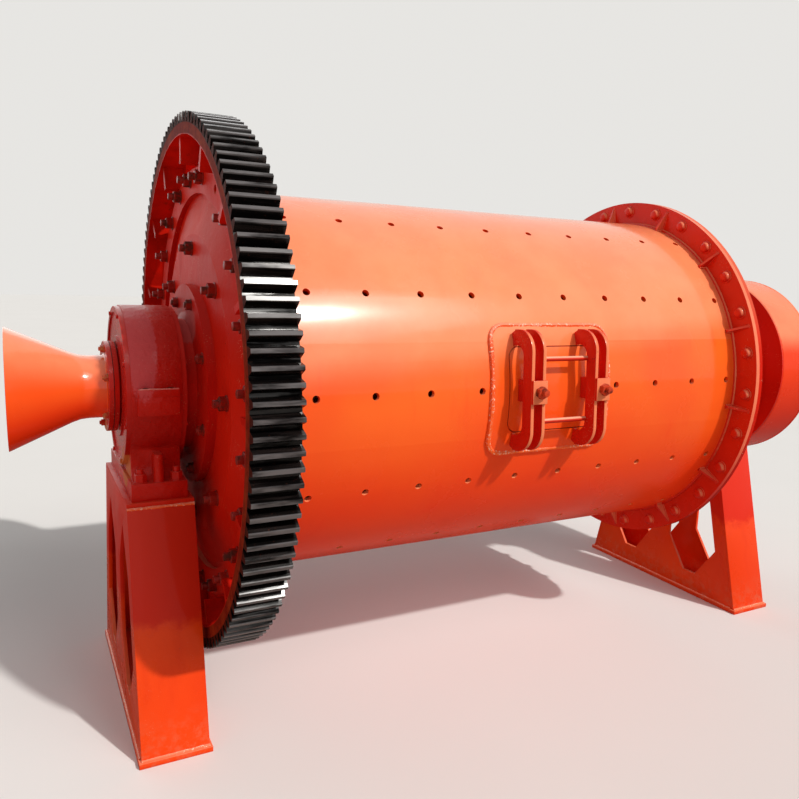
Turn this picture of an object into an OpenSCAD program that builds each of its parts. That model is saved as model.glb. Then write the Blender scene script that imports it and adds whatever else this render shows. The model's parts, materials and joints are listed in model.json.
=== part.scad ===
// Ball mill: a rolled shell between two bolted heads, turning on hollow trunnions in two
// split bearings, with a girth gear, a discharge bell, a feed drum and two fabricated pedestals.
// X runs along the mill from the discharge end to the feed end, +Z is up, the floor is z = 0.
// Lengths along the mill count from the discharge-side face of the gear's teeth (x = 0 there).
// Angles round the mill count from the -Y side, upwards.

/* [Shell] */
// Height of the mill's axis above the floor
axis_h = 1285; // [1240:5:1600]
// Outer diameter of the shell
shell_d = 1536; // [1480:4:1600]
// Thickness of the rolled shell plate
shell_t = 18; // [12:1:24]
// Length of the shell from end to end
shell_len = 2224; // [2180:2:2600]
// Number of rows of liner-bolt holes round the shell
hole_rows = 13; // [13]
// Angle of the row that holds the hatch
hole_row_angle = 2.8; // [0:0.1:6]
// Number of liner-bolt holes along each row
hole_count = 10; // [6:1:10]
// Distance of the first hole from the shell's discharge end
hole_first = 167; // [120:1:180]
// Distance of the last hole from the shell's feed end
hole_last = 77; // [60:1:120]
// Diameter of a liner-bolt hole
hole_d = 27; // [16:1:40]

/* [Hatch] */
// Distance of the hatch's middle from the shell's middle, towards the feed end
hatch_offset = 40; // [0:1:60]
// Length of the hatch's seat plate along the mill
seat_len = 564; // [500:4:600]
// Angle that the seat plate covers round the shell
seat_angle = 37.5; // [34:0.5:39]
// Thickness of the seat plate
seat_t = 10; // [6:1:16]
// Corner radius of the seat plate
seat_corner = 60; // [30:5:90]
// Length of the manhole along the mill
manhole_len = 420; // [360:5:440]
// Angle that the manhole covers round the shell
manhole_angle = 25; // [20:0.5:26]
// Corner radius of the manhole
manhole_corner = 45; // [20:5:60]
// Gap all round the hatch cover
cover_gap = 4; // [2:0.5:8]
// Distance between the middles of the two clamps
clamp_pitch = 304; // [280:2:330]
// Length of a clamp across the hatch
clamp_len = 462; // [440:2:480]
// Height of a clamp above the seat plate
clamp_h = 102; // [90:2:130]
// Width of a clamp's leg
clamp_leg = 60; // [44:2:70]
// Depth of a clamp's outer bar
clamp_bar = 54; // [36:2:60]
// Outer corner radius of a clamp
clamp_corner = 84; // [50:2:90]
// Thickness of a clamp's plate
clamp_t = 14; // [8:1:20]
// Clear space between the two plates of a clamp
clamp_space = 38; // [30:2:50]
// Height of the block on the cover in the middle of a clamp
block_h = 84; // [60:2:96]
// Thickness of the square washer over a clamp's two bows
washer_t = 12; // [8:1:16]
// Height of the square washer
washer_h = 88; // [60:2:100]
// Diameter of the stud through a clamp
stud_d = 27; // [20:1:30]
// Diameter of the two handle bars
bar_d = 19; // [12:1:24]
// Distance between the two handle bars
bar_pitch = 238; // [200:2:260]

/* [Girth gear] */
// Tooth module
gear_module = 16; // [14:1:18]
// Height of the teeth's pitch circle over the shell
gear_rise = 256; // [248:4:280]
// Width of the teeth along the mill
gear_w = 160; // [150:2:180]
// Pressure angle of the teeth
gear_pressure = 20; // [18:0.5:22]
// Thickness of the rim under the teeth
rim_t = 44; // [30:1:50]
// Thickness of the web between rim and flange
web_t = 26; // [16:1:30]
// Number of arms, a multiple of two
gear_arms = 16; // [12:2:18]
// Thickness of an arm's cross rib
arm_t = 24; // [16:1:30]
// Distance of an arm's cross rib from the gear's two faces
arm_inset = 12; // [6:1:20]
// Half angle of solid web beside the middle of an arm
arm_angle = 2.2; // [1.6:0.1:3]
// Width of the plain band of web above and below a window
window_edge = 11; // [8:1:16]
// Width of the gear's bolting flange beyond the shell's surface
gear_flange_w = 104; // [92:2:112]
// Thickness of the gear's bolting flange
gear_flange_t = 30; // [26:1:36]

/* [Ends] */
// Distance from the gear's face to the face of the discharge head's flange
head_face_x = 66; // [60:1:72]
// Width of the discharge head's flange beyond the shell's surface
head_flange_w = 82; // [72:2:88]
// Thickness of the discharge head's flange
head_flange_t = 30; // [24:1:36]
// Thickness of the flange at the shell's discharge end
shell_flange_t = 24; // [16:1:28]
// Width of the flanges at the feed end beyond the shell's surface
feed_flange_w = 112; // [100:2:140]
// Thickness of each of the two flanges at the feed end
feed_flange_t = 20; // [16:1:26]
// Number of gussets behind the feed flange
gusset_count = 14; // [10:1:18]
// Thickness of a gusset
gusset_t = 10; // [6:1:14]
// Length of a gusset along the shell
gusset_len = 42; // [30:2:80]
// Height of a gusset at its thin end
gusset_foot = 14; // [8:1:24]
// Distance of a gusset's tip from the flange's rim
gusset_drop = 12; // [4:1:20]
// Angle of one gusset
gusset_angle = -6.5; // [-9:0.5:-4]
// Depth of the groove inside a head's flange
groove_depth = 22; // [12:1:26]
// Distance of the groove's outer wall inside the shell's surface
groove_in = 16; // [8:1:16]
// Distance of a head's flat face inside the shell's surface
flat_in = 172; // [130:2:208]
// How far a head's flat face stands out from its flange
head_rise = 14; // [8:1:20]
// Thickness of a head's wall
head_t = 62; // [50:1:70]
// Distance of the discharge bolt circle from its flange's rim
bolt_edge = 38; // [30:1:46]
// Diameter of the discharge flange's bolt holes
bolt_hole_d = 33; // [24:1:36]
// Angle of the bolt hole that stands empty
empty_hole_angle = 65.2; // [60:0.1:70]

/* [Trunnions and bearings] */
// Distance of the discharge bearing's middle from the gear's face
discharge_bearing_x = -141; // [-146:1:-136]
// Distance of the feed bearing's middle from the feed head's flat face
feed_bearing_out = 526; // [515:1:560]
// Radius of the trunnions' bore
bore_r = 105; // [90:1:110]
// Radius of the journals
journal_r = 150; // [140:1:160]
// Radius of the boss beside a bearing
boss_r = 260; // [240:2:280]
// Width of the boss beside a bearing
boss_w = 40; // [24:1:50]
// Radius of a trunnion's flange on its head
trunnion_flange_r = 400; // [380:2:420]
// Thickness of a trunnion's flange on its head
trunnion_flange_t = 34; // [26:1:40]
// Radius where the discharge trunnion's neck leaves its flange
discharge_neck_r = 290; // [270:2:320]
// Radius where the feed trunnion's neck leaves its flange
feed_neck_r = 330; // [300:2:350]
// Radius of the flange at a trunnion's outer end
end_flange_r = 175; // [170:1:196]
// Thickness of the flange at a trunnion's outer end
end_flange_t = 18; // [14:1:22]
// Outer radius of a bearing housing
housing_r = 314; // [300:1:320]
// Width of a bearing housing along the mill
housing_w = 176; // [160:2:180]
// Outer radius of the bearing ring
ring_r = 205; // [190:1:220]
// Thickness of a bearing's end cover
cover_t = 18; // [12:1:20]
// Distance of an end cover's rim inside the housing's edge
cover_in = 5; // [2:1:12]
// Depth of the step round an end cover's rim
cover_step = 6; // [3:0.5:8]
// Width of the step round an end cover's rim
cover_rim = 22; // [14:1:30]
// Clearance between a journal and an end cover
cover_clear = 7; // [6:0.5:10]
// Gap between an end cover and what turns beside it
run_gap = 6; // [6:0.5:8]
// Half length of the lugs where a housing is split
lug_half = 345; // [335:1:360]
// Depth of the lower lugs
lug_h = 66; // [55:1:80]
// Height of the upper lugs
cap_lug_h = 28; // [20:1:40]
// Width of the lugs along the mill
lug_w = 144; // [130:2:158]
// Half length of a housing's foot
foot_half = 318; // [316:1:330]
// Width of a housing's foot along the mill
foot_w = 198; // [180:2:220]
// Thickness of a housing's foot
foot_t = 65; // [50:1:80]
// Half width of the waist between a housing and its foot
waist_half = 236; // [200:2:250]
// Radius of the hollow from the waist to the foot
waist_fillet = 50; // [30:2:56]
// Radius at the foot of the upright rib in the middle of each side
rib_r = 20; // [17:1:26]
// Radius at the rib's top
rib_top_r = 15; // [10:1:16]
// Height of the upright rib over the foot
rib_h = 102; // [80:1:120]
// Distance from the axis down to a pedestal's top
seat_drop = 385; // [380:1:400]

/* [Pedestals] */
// Width of a pedestal along the mill
pedestal_w = 240; // [230:2:244]
// Half length of a pedestal at the floor
pedestal_foot = 550; // [520:5:640]
// Half length of a pedestal at its top
pedestal_top = 335; // [332:1:360]
// Thickness of the upright plates
plate_t = 16; // [10:1:20]
// Width of the base plate's ledge round the upright plates
base_ledge = 9; // [4:1:12]
// Thickness of the top and base plates
cap_plate_t = 20; // [14:1:26]
// Half width of the post between the two windows
post_half = 65; // [50:1:80]
// Height of the windows' sill above the floor
window_low = 125; // [100:5:160]
// Height of the windows' head above the floor
window_high = 780; // [700:5:800]
// Width of the plate left beside a window along the sloping side
window_side = 88; // [70:1:100]
// Width of the windows' corner chamfers
chamfer_w = 120; // [80:1:130]
// Height of the windows' corner chamfers
chamfer_h = 172; // [120:1:190]

/* [Discharge bell and feed drum] */
// Outer radius of the bell's neck
neck_r = 121; // [115:1:145]
// Outer radius of the bell's mouth
mouth_r = 231; // [200:1:300]
// Length of the bell's neck
neck_len = 90; // [80:1:130]
// Length of the bell's cone
bell_len = 248; // [200:1:300]
// Thickness of the bell's wall
bell_t = 8; // [5:0.5:12]
// Outer radius of the feed drum
feed_drum_r = 500; // [480:1:540]
// Length of the feed drum
feed_drum_len = 260; // [220:2:320]
// Thickness of the feed drum's plates
drum_t = 12; // [8:1:16]
// Radius of the opening in the feed drum's outer plate
feed_mouth_r = 250; // [200:2:300]

/* [Hidden] */

// Smoothness of large and small round shapes
big_fn = 180;
small_fn = 48;
// Clearance between round faces that are welded or seated
fit = 0.3;
// Height of a flat weld seam under a gusset or a clamp's block
seam = 1;
// Radial running clearance of a journal in its bearing ring
run_fit = 0.05;
// What a cutting shape reaches past the solid that it cuts
over = 5;

// Radii of the shell
shell_r = shell_d / 2;
shell_in = shell_r - shell_t;
hole_pitch = (shell_len - hole_first - hole_last) / (hole_count - 1);
seat_r = shell_r + fit + seat_t;

// Radii of the flanges and of the heads' groove and flat face
gear_flange_r = shell_r + gear_flange_w;
head_flange_r = shell_r + head_flange_w;
feed_flange_r = shell_r + feed_flange_w;
groove_r = shell_r - groove_in;
cone_r = shell_r - flat_in;

// Places along the mill, from the gear's face
contact_x = head_face_x + head_flange_t;
shell_x0 = contact_x + gear_flange_t;
shell_x1 = shell_x0 + shell_len;
hatch_mid_x = (shell_x0 + shell_x1) / 2 + hatch_offset;
gear_mid_x = contact_x + gear_flange_t / 2;

// Seats of the trunnions on the heads' flat faces, and their reach past a bearing's middle
discharge_seat_x = contact_x - head_flange_t - head_rise;
feed_seat_x = shell_x1 + feed_flange_t + head_rise;
feed_bearing_x = feed_seat_x + feed_bearing_out;
journal_half = housing_w / 2 + cover_t + run_gap;
bell_flange_x = discharge_bearing_x - journal_half - end_flange_t;
bell_x0 = bell_flange_x - end_flange_t - neck_len - bell_len;
feed_drum_x0 = feed_bearing_x + journal_half + end_flange_t;
feed_drum_x1 = feed_drum_x0 + feed_drum_len;
mid_x = (bell_x0 + feed_drum_x1) / 2;

// Rows of holes round the shell, and the plates that they fall on
row_angle = 360 / hole_rows;
function row_at(i) = hole_row_angle + i * row_angle;

// Gear: teeth, in a multiple of four, radii and the involute flank
gear_teeth = 4 * round((shell_r + gear_rise) / (2 * gear_module));
pitch_r = gear_module * gear_teeth / 2;
tip_r = pitch_r + gear_module;
root_r = pitch_r - 1.25 * gear_module;
rim_in = root_r - rim_t;
base_r = pitch_r * cos(gear_pressure);
flank_steps = 3;
tooth_angle = 360 / gear_teeth;
arm_pitch = 360 / gear_arms;
function inv(a) = tan(a) - a * PI / 180;
function half_tooth(r) = (PI / (2 * gear_teeth) + inv(gear_pressure) - inv(acos(base_r / r))) * 180 / PI;
function on_circle(r, a) = [r * cos(a), r * sin(a)];
function flank_r(i) = root_r + (tip_r - root_r) * i / flank_steps;
function tooth(mid) = concat(
  [for (i = [0:flank_steps]) on_circle(flank_r(i), mid - half_tooth(flank_r(i)))],
  [for (i = [flank_steps:-1:0]) on_circle(flank_r(i), mid + half_tooth(flank_r(i)))]);

// Half length of a pedestal at a height above the floor
pedestal_h = axis_h - seat_drop;
function side_at(z) = pedestal_foot + (pedestal_top - pedestal_foot) * z / pedestal_h;

// Puts a shape that is drawn round the X axis, at its place along the mill, in the part's frame
module on_axis() {
  translate([-mid_x, 0, axis_h]) children();
}

// Turns a profile of [radius, x] points round the mill's axis
module turned(points) {
  rotate([0, 90, 0]) rotate_extrude($fn = big_fn) polygon(points);
}

// Turns a profile of [radius, x] points between two angles round the mill
module turned_between(points, from, to) {
  rotate([0, 90, 0]) rotate([0, 0, -90 - to])
    rotate_extrude(angle = to - from, $fn = big_fn) polygon(points);
}

// Draws a cross-section, given as Y and Z, out along the mill from x
module across(x, length) {
  translate([x, 0, 0]) rotate([90, 0, 90]) linear_extrude(length) children();
}

// Turns a shape that is drawn on the -Y side to an angle round the mill
module at_angle(a) {
  rotate([-a, 0, 0]) children();
}

// Flat shape with two rounded upper corners, its foot on the x axis
module arch(width, height, corner) {
  translate([-width / 2, 0]) square([width, height - corner]);
  translate([-width / 2 + corner, 0]) square([width - 2 * corner, height]);
  for (side = [-1, 1]) translate([side * (width / 2 - corner), height - corner])
    circle(corner, $fn = small_fn);
}

// Flat rectangle with four rounded corners, centred
module rounded_plate(length, width, corner) {
  offset(corner, $fn = small_fn) square([length - 2 * corner, width - 2 * corner], center = true);
}

// Flat outline of the hatch's seat or manhole: its length, and the angle that it covers
module hatch_outline(length, angle, corner, inset) {
  width = 2 * shell_r * sin(angle / 2);
  rounded_plate(length - 2 * inset, width - 2 * inset, corner - inset);
}

// Drives a flat outline in along the radius at the hatch's middle
module through_hatch() {
  translate([hatch_mid_x, 0, 0]) at_angle(hole_row_angle)
    rotate([90, 0, 0]) linear_extrude(shell_r + clamp_h) children();
}

// Ring round the shell that the hatch's pieces are cut from
module hatch_ring(inner) {
  turned([[inner, hatch_mid_x - seat_len], [seat_r, hatch_mid_x - seat_len],
    [seat_r, hatch_mid_x + seat_len], [inner, hatch_mid_x + seat_len]]);
}

// Plate of the shell between two angles, with its rows of holes
module shell_plate(first_row, rows) {
  from = row_at(first_row - 0.5);
  to = row_at(first_row + rows - 0.5);
  color("orangered") on_axis() difference() {
    turned_between([[shell_in, shell_x0], [shell_r, shell_x0], [shell_r, shell_x1],
      [shell_in, shell_x1]], from, to);
    for (row = [first_row:first_row + rows - 1], i = [0:hole_count - 1]) liner_hole(row, i);
  }
}

// One liner-bolt hole
module liner_hole(row, i) {
  translate([shell_x0 + hole_first + i * hole_pitch, 0, 0]) at_angle(row_at(row))
    rotate([90, 0, 0]) translate([0, 0, shell_in - over])
      cylinder(d = hole_d, h = shell_t + 2 * over, $fn = small_fn);
}

// Plate of the shell that holds the manhole
module hatch_plate() {
  color("orangered") on_axis() difference() {
    turned_between([[shell_in, shell_x0], [shell_r, shell_x0], [shell_r, shell_x1],
      [shell_in, shell_x1]], row_at(-0.5), row_at(0.5));
    for (i = [0:hole_count - 1]) let (x = shell_x0 + hole_first + i * hole_pitch)
      if (abs(x - hatch_mid_x) > (seat_len + hole_d) / 2) liner_hole(0, i);
    through_hatch() hatch_outline(manhole_len, manhole_angle, manhole_corner, 0);
  }
}

// Ring of plate welded on the shell round the manhole
module hatch_seat() {
  color("orangered") on_axis() intersection() {
    hatch_ring(shell_r + fit);
    through_hatch() difference() {
      hatch_outline(seat_len, seat_angle, seat_corner, 0);
      hatch_outline(manhole_len, manhole_angle, manhole_corner, 0);
    }
  }
}

// Curved cover in the manhole, standing just under the seat's face
module hatch_cover() {
  color("orangered") on_axis() intersection() {
    hatch_ring(shell_in);
    through_hatch() hatch_outline(manhole_len, manhole_angle, manhole_corner, cover_gap);
  }
}

// One flat bow of a clamp, drawn across the mill: x up, y outwards from the mill's axis
module clamp_bow() {
  difference() {
    translate([0, shell_r]) arch(clamp_len, clamp_h + seat_t, clamp_corner);
    translate([0, shell_r]) arch(clamp_len - 2 * clamp_leg, clamp_h + seat_t - clamp_bar,
      clamp_corner / 2);
    circle(seat_r + fit, $fn = big_fn);
  }
}

// Both clamps: each is two bows with a block on the cover between them and a square washer
module hatch_clamps() {
  color("red") on_axis() at_angle(hole_row_angle)
    for (side = [-1, 1]) translate([hatch_mid_x + side * clamp_pitch / 2, 0, 0]) {
      for (bow = [-1, 1]) across((bow * (clamp_space + clamp_t) - clamp_t) / 2, clamp_t)
        rotate(90) clamp_bow();
      clamp_block();
      clamp_washer();
    }
}

// Block on the hatch's cover that the stud stands in
module clamp_block() {
  low = seat_r + fit;
  translate([-clamp_space / 2 + fit, 0, 0]) across(0, clamp_space - 2 * fit) rotate(90)
    difference() {
      translate([-block_h / 2, shell_r]) square([block_h, clamp_h - clamp_bar + low - shell_r]);
      circle(low, $fn = big_fn);
    }
}

// Square washer over the bows, with the stud's shank below it
module clamp_washer() {
  low = seat_r + clamp_h;
  width = clamp_space + 2 * clamp_t;
  translate([-width / 2, -low - washer_t, -washer_h / 2]) cube([width, washer_t, washer_h]);
  translate([0, -low, 0]) rotate([-90, 0, 0]) cylinder(d = stud_d, h = clamp_bar, $fn = small_fn);
}

// Two round handle bars that tie the clamps
module hatch_bars() {
  inner = clamp_pitch - clamp_space - 2 * clamp_t;
  reach = seat_r + clamp_h - clamp_bar;
  color("red") on_axis() at_angle(hole_row_angle)
    for (side = [-1, 1]) translate([hatch_mid_x - inner / 2, -reach, side * bar_pitch / 2])
      rotate([0, 90, 0]) cylinder(d = bar_d, h = inner, $fn = small_fn);
}

// Flat outline of all teeth and the rim below them
module gear_outline() {
  difference() {
    polygon([for (i = [0:gear_teeth - 1]) each tooth((i + 0.5) * tooth_angle)]);
    circle(rim_in, $fn = big_fn);
  }
}

// Flat web with a long rounded window between each two arms
module gear_web() {
  low = gear_flange_r + window_edge;
  high = rim_in - window_edge;
  end_r = (high - low) / 2;
  half = arm_pitch / 2 - arm_angle - asin(end_r / (low + end_r));
  difference() {
    circle(rim_in + rim_t / 2, $fn = big_fn);
    circle(gear_flange_r - window_edge, $fn = big_fn);
    for (i = [0:gear_arms - 1]) rotate((i + 0.5) * arm_pitch) {
      intersection() {
        difference() {
          circle(high, $fn = big_fn);
          circle(low, $fn = big_fn);
        }
        polygon([[0, 0], on_circle(2 * high, -half), on_circle(2 * high, half)]);
      }
      for (side = [-1, 1]) rotate(side * half) translate([low + end_r, 0])
        circle(end_r, $fn = small_fn);
    }
  }
}

// Flat half plane that keeps one half of the gear; side is 1 above the axis, -1 below
module half_plane(side) {
  translate([-2 * tip_r, side > 0 ? 0 : -2 * tip_r]) square([4 * tip_r, 2 * tip_r]);
}

// Half of the girth gear: teeth and rim, web, cross ribs and bolting flange
module gear_half(side) {
  color("dimgray") on_axis() {
    across(0, gear_w) intersection() {
      gear_outline();
      half_plane(side);
    }
    across(gear_mid_x - web_t / 2, web_t) intersection() {
      gear_web();
      half_plane(side);
    }
    difference() {
      across(contact_x, gear_flange_t) intersection() {
        difference() {
          circle(gear_flange_r, $fn = big_fn);
          circle(shell_in, $fn = big_fn);
        }
        half_plane(side);
      }
      if (side > 0) empty_hole();
    }
    for (i = [0:gear_arms / 2]) gear_arm(side, i);
  }
}

// Cross rib of one arm; the two ribs at the split keep only this half's side of the arm
module gear_arm(side, i) {
  at_split = i == 0 || i == gear_arms / 2;
  low = at_split && i == 0 ? 0 : -arm_t / 2;
  high = at_split && i != 0 ? 0 : arm_t / 2;
  rotate([side * i * arm_pitch, 0, 0])
    translate([arm_inset, gear_flange_r - window_edge, side > 0 ? low : -high])
      cube([gear_w - 2 * arm_inset, rim_in + rim_t / 4 - gear_flange_r + window_edge, high - low]);
}

// The bolt hole that stands empty in the three flanges at the discharge end
module empty_hole() {
  translate([head_face_x - over, 0, 0]) at_angle(empty_hole_angle)
    translate([0, -(head_flange_r - bolt_edge), 0]) rotate([0, 90, 0])
      cylinder(d = bolt_hole_d, h = shell_x0 + shell_flange_t - head_face_x + 2 * over, $fn = small_fn);
}

// Ring flange at one end of the shell
module shell_flange(x, thickness, radius) {
  turned([[shell_r + fit, x], [radius, x], [radius, x + thickness],
    [shell_r + fit, x + thickness]]);
}

module discharge_shell_flange() {
  color("orangered") on_axis() difference() {
    shell_flange(shell_x0, shell_flange_t, head_flange_r);
    empty_hole();
  }
}

// Feed-end flange of the shell with its ring of gussets
module feed_shell_flange() {
  face = shell_x1 - feed_flange_t;
  low = shell_r + seam;
  high = feed_flange_r - gusset_drop;
  color("orangered") on_axis() {
    shell_flange(face, feed_flange_t, feed_flange_r);
    for (i = [0:gusset_count - 1]) at_angle(gusset_angle + i * 360 / gusset_count)
      translate([face, 0, gusset_t / 2]) rotate([180, 0, 0]) linear_extrude(gusset_t)
        polygon([[over, low], [over, high], [0, high], [-gusset_len, shell_r + gusset_foot],
          [-gusset_len, low]]);
  }
}

// Head: flange, groove, cone and flat face; side is the way it faces along X
module head(x, side, flange_r, flange_t, spigot) {
  face = flange_t;
  translate([x, 0, 0]) turned([for (p = [
    [bore_r, face + head_rise], [cone_r, face + head_rise],
    [groove_r - groove_depth, face - groove_depth], [groove_r, face - groove_depth],
    [groove_r, face], [flange_r, face], [flange_r, 0], [shell_in - fit, 0],
    [shell_in - fit, -spigot], [cone_r + head_t, -spigot],
    [cone_r, face + head_rise - head_t], [bore_r, face + head_rise - head_t]])
    [p[0], side * p[1]]]);
}

module discharge_head() {
  color("orangered") on_axis() difference() {
    head(contact_x, -1, head_flange_r, head_flange_t, gear_flange_t + shell_flange_t);
    empty_hole();
  }
}

module feed_head() {
  color("orangered") on_axis() head(shell_x1, 1, feed_flange_r, feed_flange_t, shell_flange_t);
}

// Hollow trunnion: flange on the head, neck, boss, journal and end flange
module trunnion(seat_x, bearing_x, side, root) {
  neck = abs(bearing_x - seat_x) - journal_half;
  end = neck + 2 * journal_half;
  color("firebrick") on_axis() translate([seat_x, 0, 0]) turned([for (p = [
    [bore_r, 0], [trunnion_flange_r, 0], [trunnion_flange_r, trunnion_flange_t],
    [root, trunnion_flange_t], [boss_r, max(neck - boss_w, trunnion_flange_t + seam)],
    [boss_r, neck], [journal_r, neck], [journal_r, end], [end_flange_r, end],
    [end_flange_r, end + end_flange_t], [bore_r, end + end_flange_t]])
    [p[0], side * p[1]]]);
}

// Flared bell on the discharge trunnion
module discharge_bell() {
  throat = bell_flange_x - end_flange_t;
  color("orangered") on_axis() turned([
    [neck_r - bell_t, bell_flange_x], [end_flange_r, bell_flange_x], [end_flange_r, throat],
    [neck_r, throat], [neck_r, throat - neck_len], [mouth_r, bell_x0],
    [mouth_r - bell_t, bell_x0], [neck_r - bell_t, throat - neck_len]]);
}

// Rolled wall of the feed drum, between its two plates
module feed_drum_shell() {
  from = feed_drum_x0 + drum_t;
  to = feed_drum_x1 - drum_t;
  color("orangered") on_axis() turned([[feed_drum_r - drum_t, from], [feed_drum_r, from],
    [feed_drum_r, to], [feed_drum_r - drum_t, to]]);
}

// Flat ring that closes one side of the feed drum
module feed_drum_plate(x, hole) {
  color("orangered") on_axis() turned([[hole, x], [feed_drum_r, x],
    [feed_drum_r, x + drum_t], [hole, x + drum_t]]);
}

// Flat half of a housing's round body; side is 1 above the axis, -1 below
module round_half(side) {
  intersection() {
    circle(housing_r, $fn = big_fn);
    translate([-housing_r, side > 0 ? 0 : -housing_r]) square([2 * housing_r, housing_r]);
  }
}

// Lower half of a bearing housing with its lugs, waist, ribs and foot
module housing(x) {
  color("firebrick") on_axis() translate([x, 0, 0]) difference() {
    union() {
      across(-housing_w / 2, housing_w) {
        round_half(-1);
        housing_waist();
      }
      translate([-lug_w / 2, -lug_half, -lug_h]) cube([lug_w, 2 * lug_half, lug_h]);
      translate([-foot_w / 2, -foot_half, -seat_drop]) cube([foot_w, 2 * foot_half, foot_t]);
      for (side = [-1, 1]) housing_rib(side);
    }
    across(-housing_w, 2 * housing_w) circle(ring_r + fit, $fn = big_fn);
  }
}

// Flat waist between a housing's body and its foot, with a hollow at each side
module housing_waist() {
  low = foot_t - seat_drop;
  difference() {
    translate([-waist_half - waist_fillet, low - over])
      square([2 * (waist_half + waist_fillet), over + seat_drop - foot_t - lug_h]);
    for (side = [-1, 1]) translate([side * (waist_half + waist_fillet), low + waist_fillet]) {
      circle(waist_fillet, $fn = small_fn);
      translate([-waist_fillet, 0]) square([2 * waist_fillet, seat_drop]);
    }
  }
}

// Upright rib in the middle of one side of a foot, with a round front that tapers upwards
module housing_rib(side) {
  front = foot_half - rib_r - over;
  low = foot_t - seat_drop;
  translate([0, side * front, low]) cylinder(r1 = rib_r, r2 = rib_top_r, h = rib_h, $fn = small_fn);
  translate([-rib_top_r, side > 0 ? ring_r + over : -front, low - over])
    cube([2 * rib_top_r, front - ring_r - over, rib_h + over]);
}

// Upper half of a bearing housing
module housing_cap(x) {
  color("firebrick") on_axis() translate([x, 0, 0]) difference() {
    union() {
      across(-housing_w / 2, housing_w) round_half(1);
      translate([-lug_w / 2, -lug_half, 0]) cube([lug_w, 2 * lug_half, cap_lug_h]);
    }
    across(-housing_w, 2 * housing_w) circle(ring_r + fit, $fn = big_fn);
  }
}

// Two end covers of a bearing, each with a step round its rim
module end_covers(x) {
  rim = housing_r - cover_in;
  color("firebrick") on_axis() translate([x, 0, 0]) for (side = [-1, 1])
    turned([for (p = [[journal_r + cover_clear, 0], [rim, 0], [rim, cover_t],
      [rim - cover_rim, cover_t], [rim - cover_rim, cover_t - cover_step],
      [end_flange_r + cover_rim, cover_t - cover_step], [end_flange_r + cover_rim, cover_t],
      [journal_r + cover_clear, cover_t]]) [p[0], side * (housing_w / 2 + p[1])]]);
}

// Ring that carries the journal inside the housing
module bearing_ring(x) {
  color("goldenrod") on_axis() translate([x - housing_w / 2, 0, 0])
    turned([[journal_r + run_fit, 0], [ring_r, 0], [ring_r, housing_w],
      [journal_r + run_fit, housing_w]]);
}

// Six-sided window in a pedestal's upright plate, on the side that side names
module pedestal_window(side) {
  outer_low = side_at(window_low + chamfer_h) - window_side;
  outer_high = side_at(window_high - chamfer_h) - window_side;
  head_mid = (post_half + outer_high) / 2;
  polygon([for (p = [
    [post_half, window_low + chamfer_h], [post_half + chamfer_w, window_low],
    [outer_low - chamfer_w, window_low], [outer_low, window_low + chamfer_h],
    [outer_high, window_high - chamfer_h],
    [max(outer_high - chamfer_w, head_mid), window_high],
    [min(post_half + chamfer_w, head_mid), window_high],
    [post_half, window_high - chamfer_h]])
    [side * p[0], p[1]]]);
}

// Upright plate across the mill with its two windows
module upright_plate(x) {
  top = pedestal_h - cap_plate_t;
  color("orangered") translate([x - mid_x, 0, 0]) across(0, plate_t) difference() {
    polygon([for (p = [[-1, cap_plate_t], [1, cap_plate_t], [1, top], [-1, top]])
      [p[0] * (side_at(p[1]) - plate_t), p[1]]]);
    for (side = [-1, 1]) pedestal_window(side);
  }
}

// Sloping plate that closes one end of a pedestal; side is -1 near, 1 far
module side_plate(bearing_x, side) {
  top = pedestal_h - cap_plate_t;
  color("orangered") translate([bearing_x - mid_x - pedestal_w / 2, 0, 0])
    across(0, pedestal_w) polygon([for (p = [[0, cap_plate_t], [plate_t, cap_plate_t],
      [plate_t, top], [0, top]]) [side * (side_at(p[1]) - p[0]), p[1]]]);
}

// Flat plate under the bearing or on the floor, with a ledge all round
module flat_plate(bearing_x, z, half, ledge) {
  color("orangered") translate([bearing_x - mid_x - pedestal_w / 2 - ledge, -half - ledge, z])
    cube([pedestal_w + 2 * ledge, 2 * (half + ledge), cap_plate_t]);
}

// Outer and inner upright plates of a pedestal; out is the way along X to the mill's end
module outer_plate(bearing_x, out) {
  upright_plate(bearing_x + out * (pedestal_w - plate_t) / 2 - plate_t / 2);
}

module inner_plate(bearing_x, out) {
  outer_plate(bearing_x, -out);
}

// Height of a pedestal's top plate
top_z = pedestal_h - cap_plate_t;

flat_plate(discharge_bearing_x, 0, pedestal_foot, base_ledge);  // discharge_base_plate
outer_plate(discharge_bearing_x, -1);  // discharge_outer_plate
inner_plate(discharge_bearing_x, -1);  // discharge_inner_plate
side_plate(discharge_bearing_x, -1);  // discharge_near_side
side_plate(discharge_bearing_x, 1);  // discharge_far_side
flat_plate(discharge_bearing_x, top_z, pedestal_top, 0);  // discharge_top_plate
housing(discharge_bearing_x);  // discharge_housing
housing_cap(discharge_bearing_x);  // discharge_housing_cap
end_covers(discharge_bearing_x);  // discharge_end_covers
bearing_ring(discharge_bearing_x);  // discharge_bearing_ring
flat_plate(feed_bearing_x, 0, pedestal_foot, base_ledge);  // feed_base_plate
outer_plate(feed_bearing_x, 1);  // feed_outer_plate
inner_plate(feed_bearing_x, 1);  // feed_inner_plate
side_plate(feed_bearing_x, -1);  // feed_near_side
side_plate(feed_bearing_x, 1);  // feed_far_side
flat_plate(feed_bearing_x, top_z, pedestal_top, 0);  // feed_top_plate
housing(feed_bearing_x);  // feed_housing
housing_cap(feed_bearing_x);  // feed_housing_cap
end_covers(feed_bearing_x);  // feed_end_covers
bearing_ring(feed_bearing_x);  // feed_bearing_ring
shell_plate(1, 2);  // shell_plate_1
shell_plate(3, 2);  // shell_plate_2
shell_plate(5, 2);  // shell_plate_3
shell_plate(7, 2);  // shell_plate_4
shell_plate(9, 2);  // shell_plate_5
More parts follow.
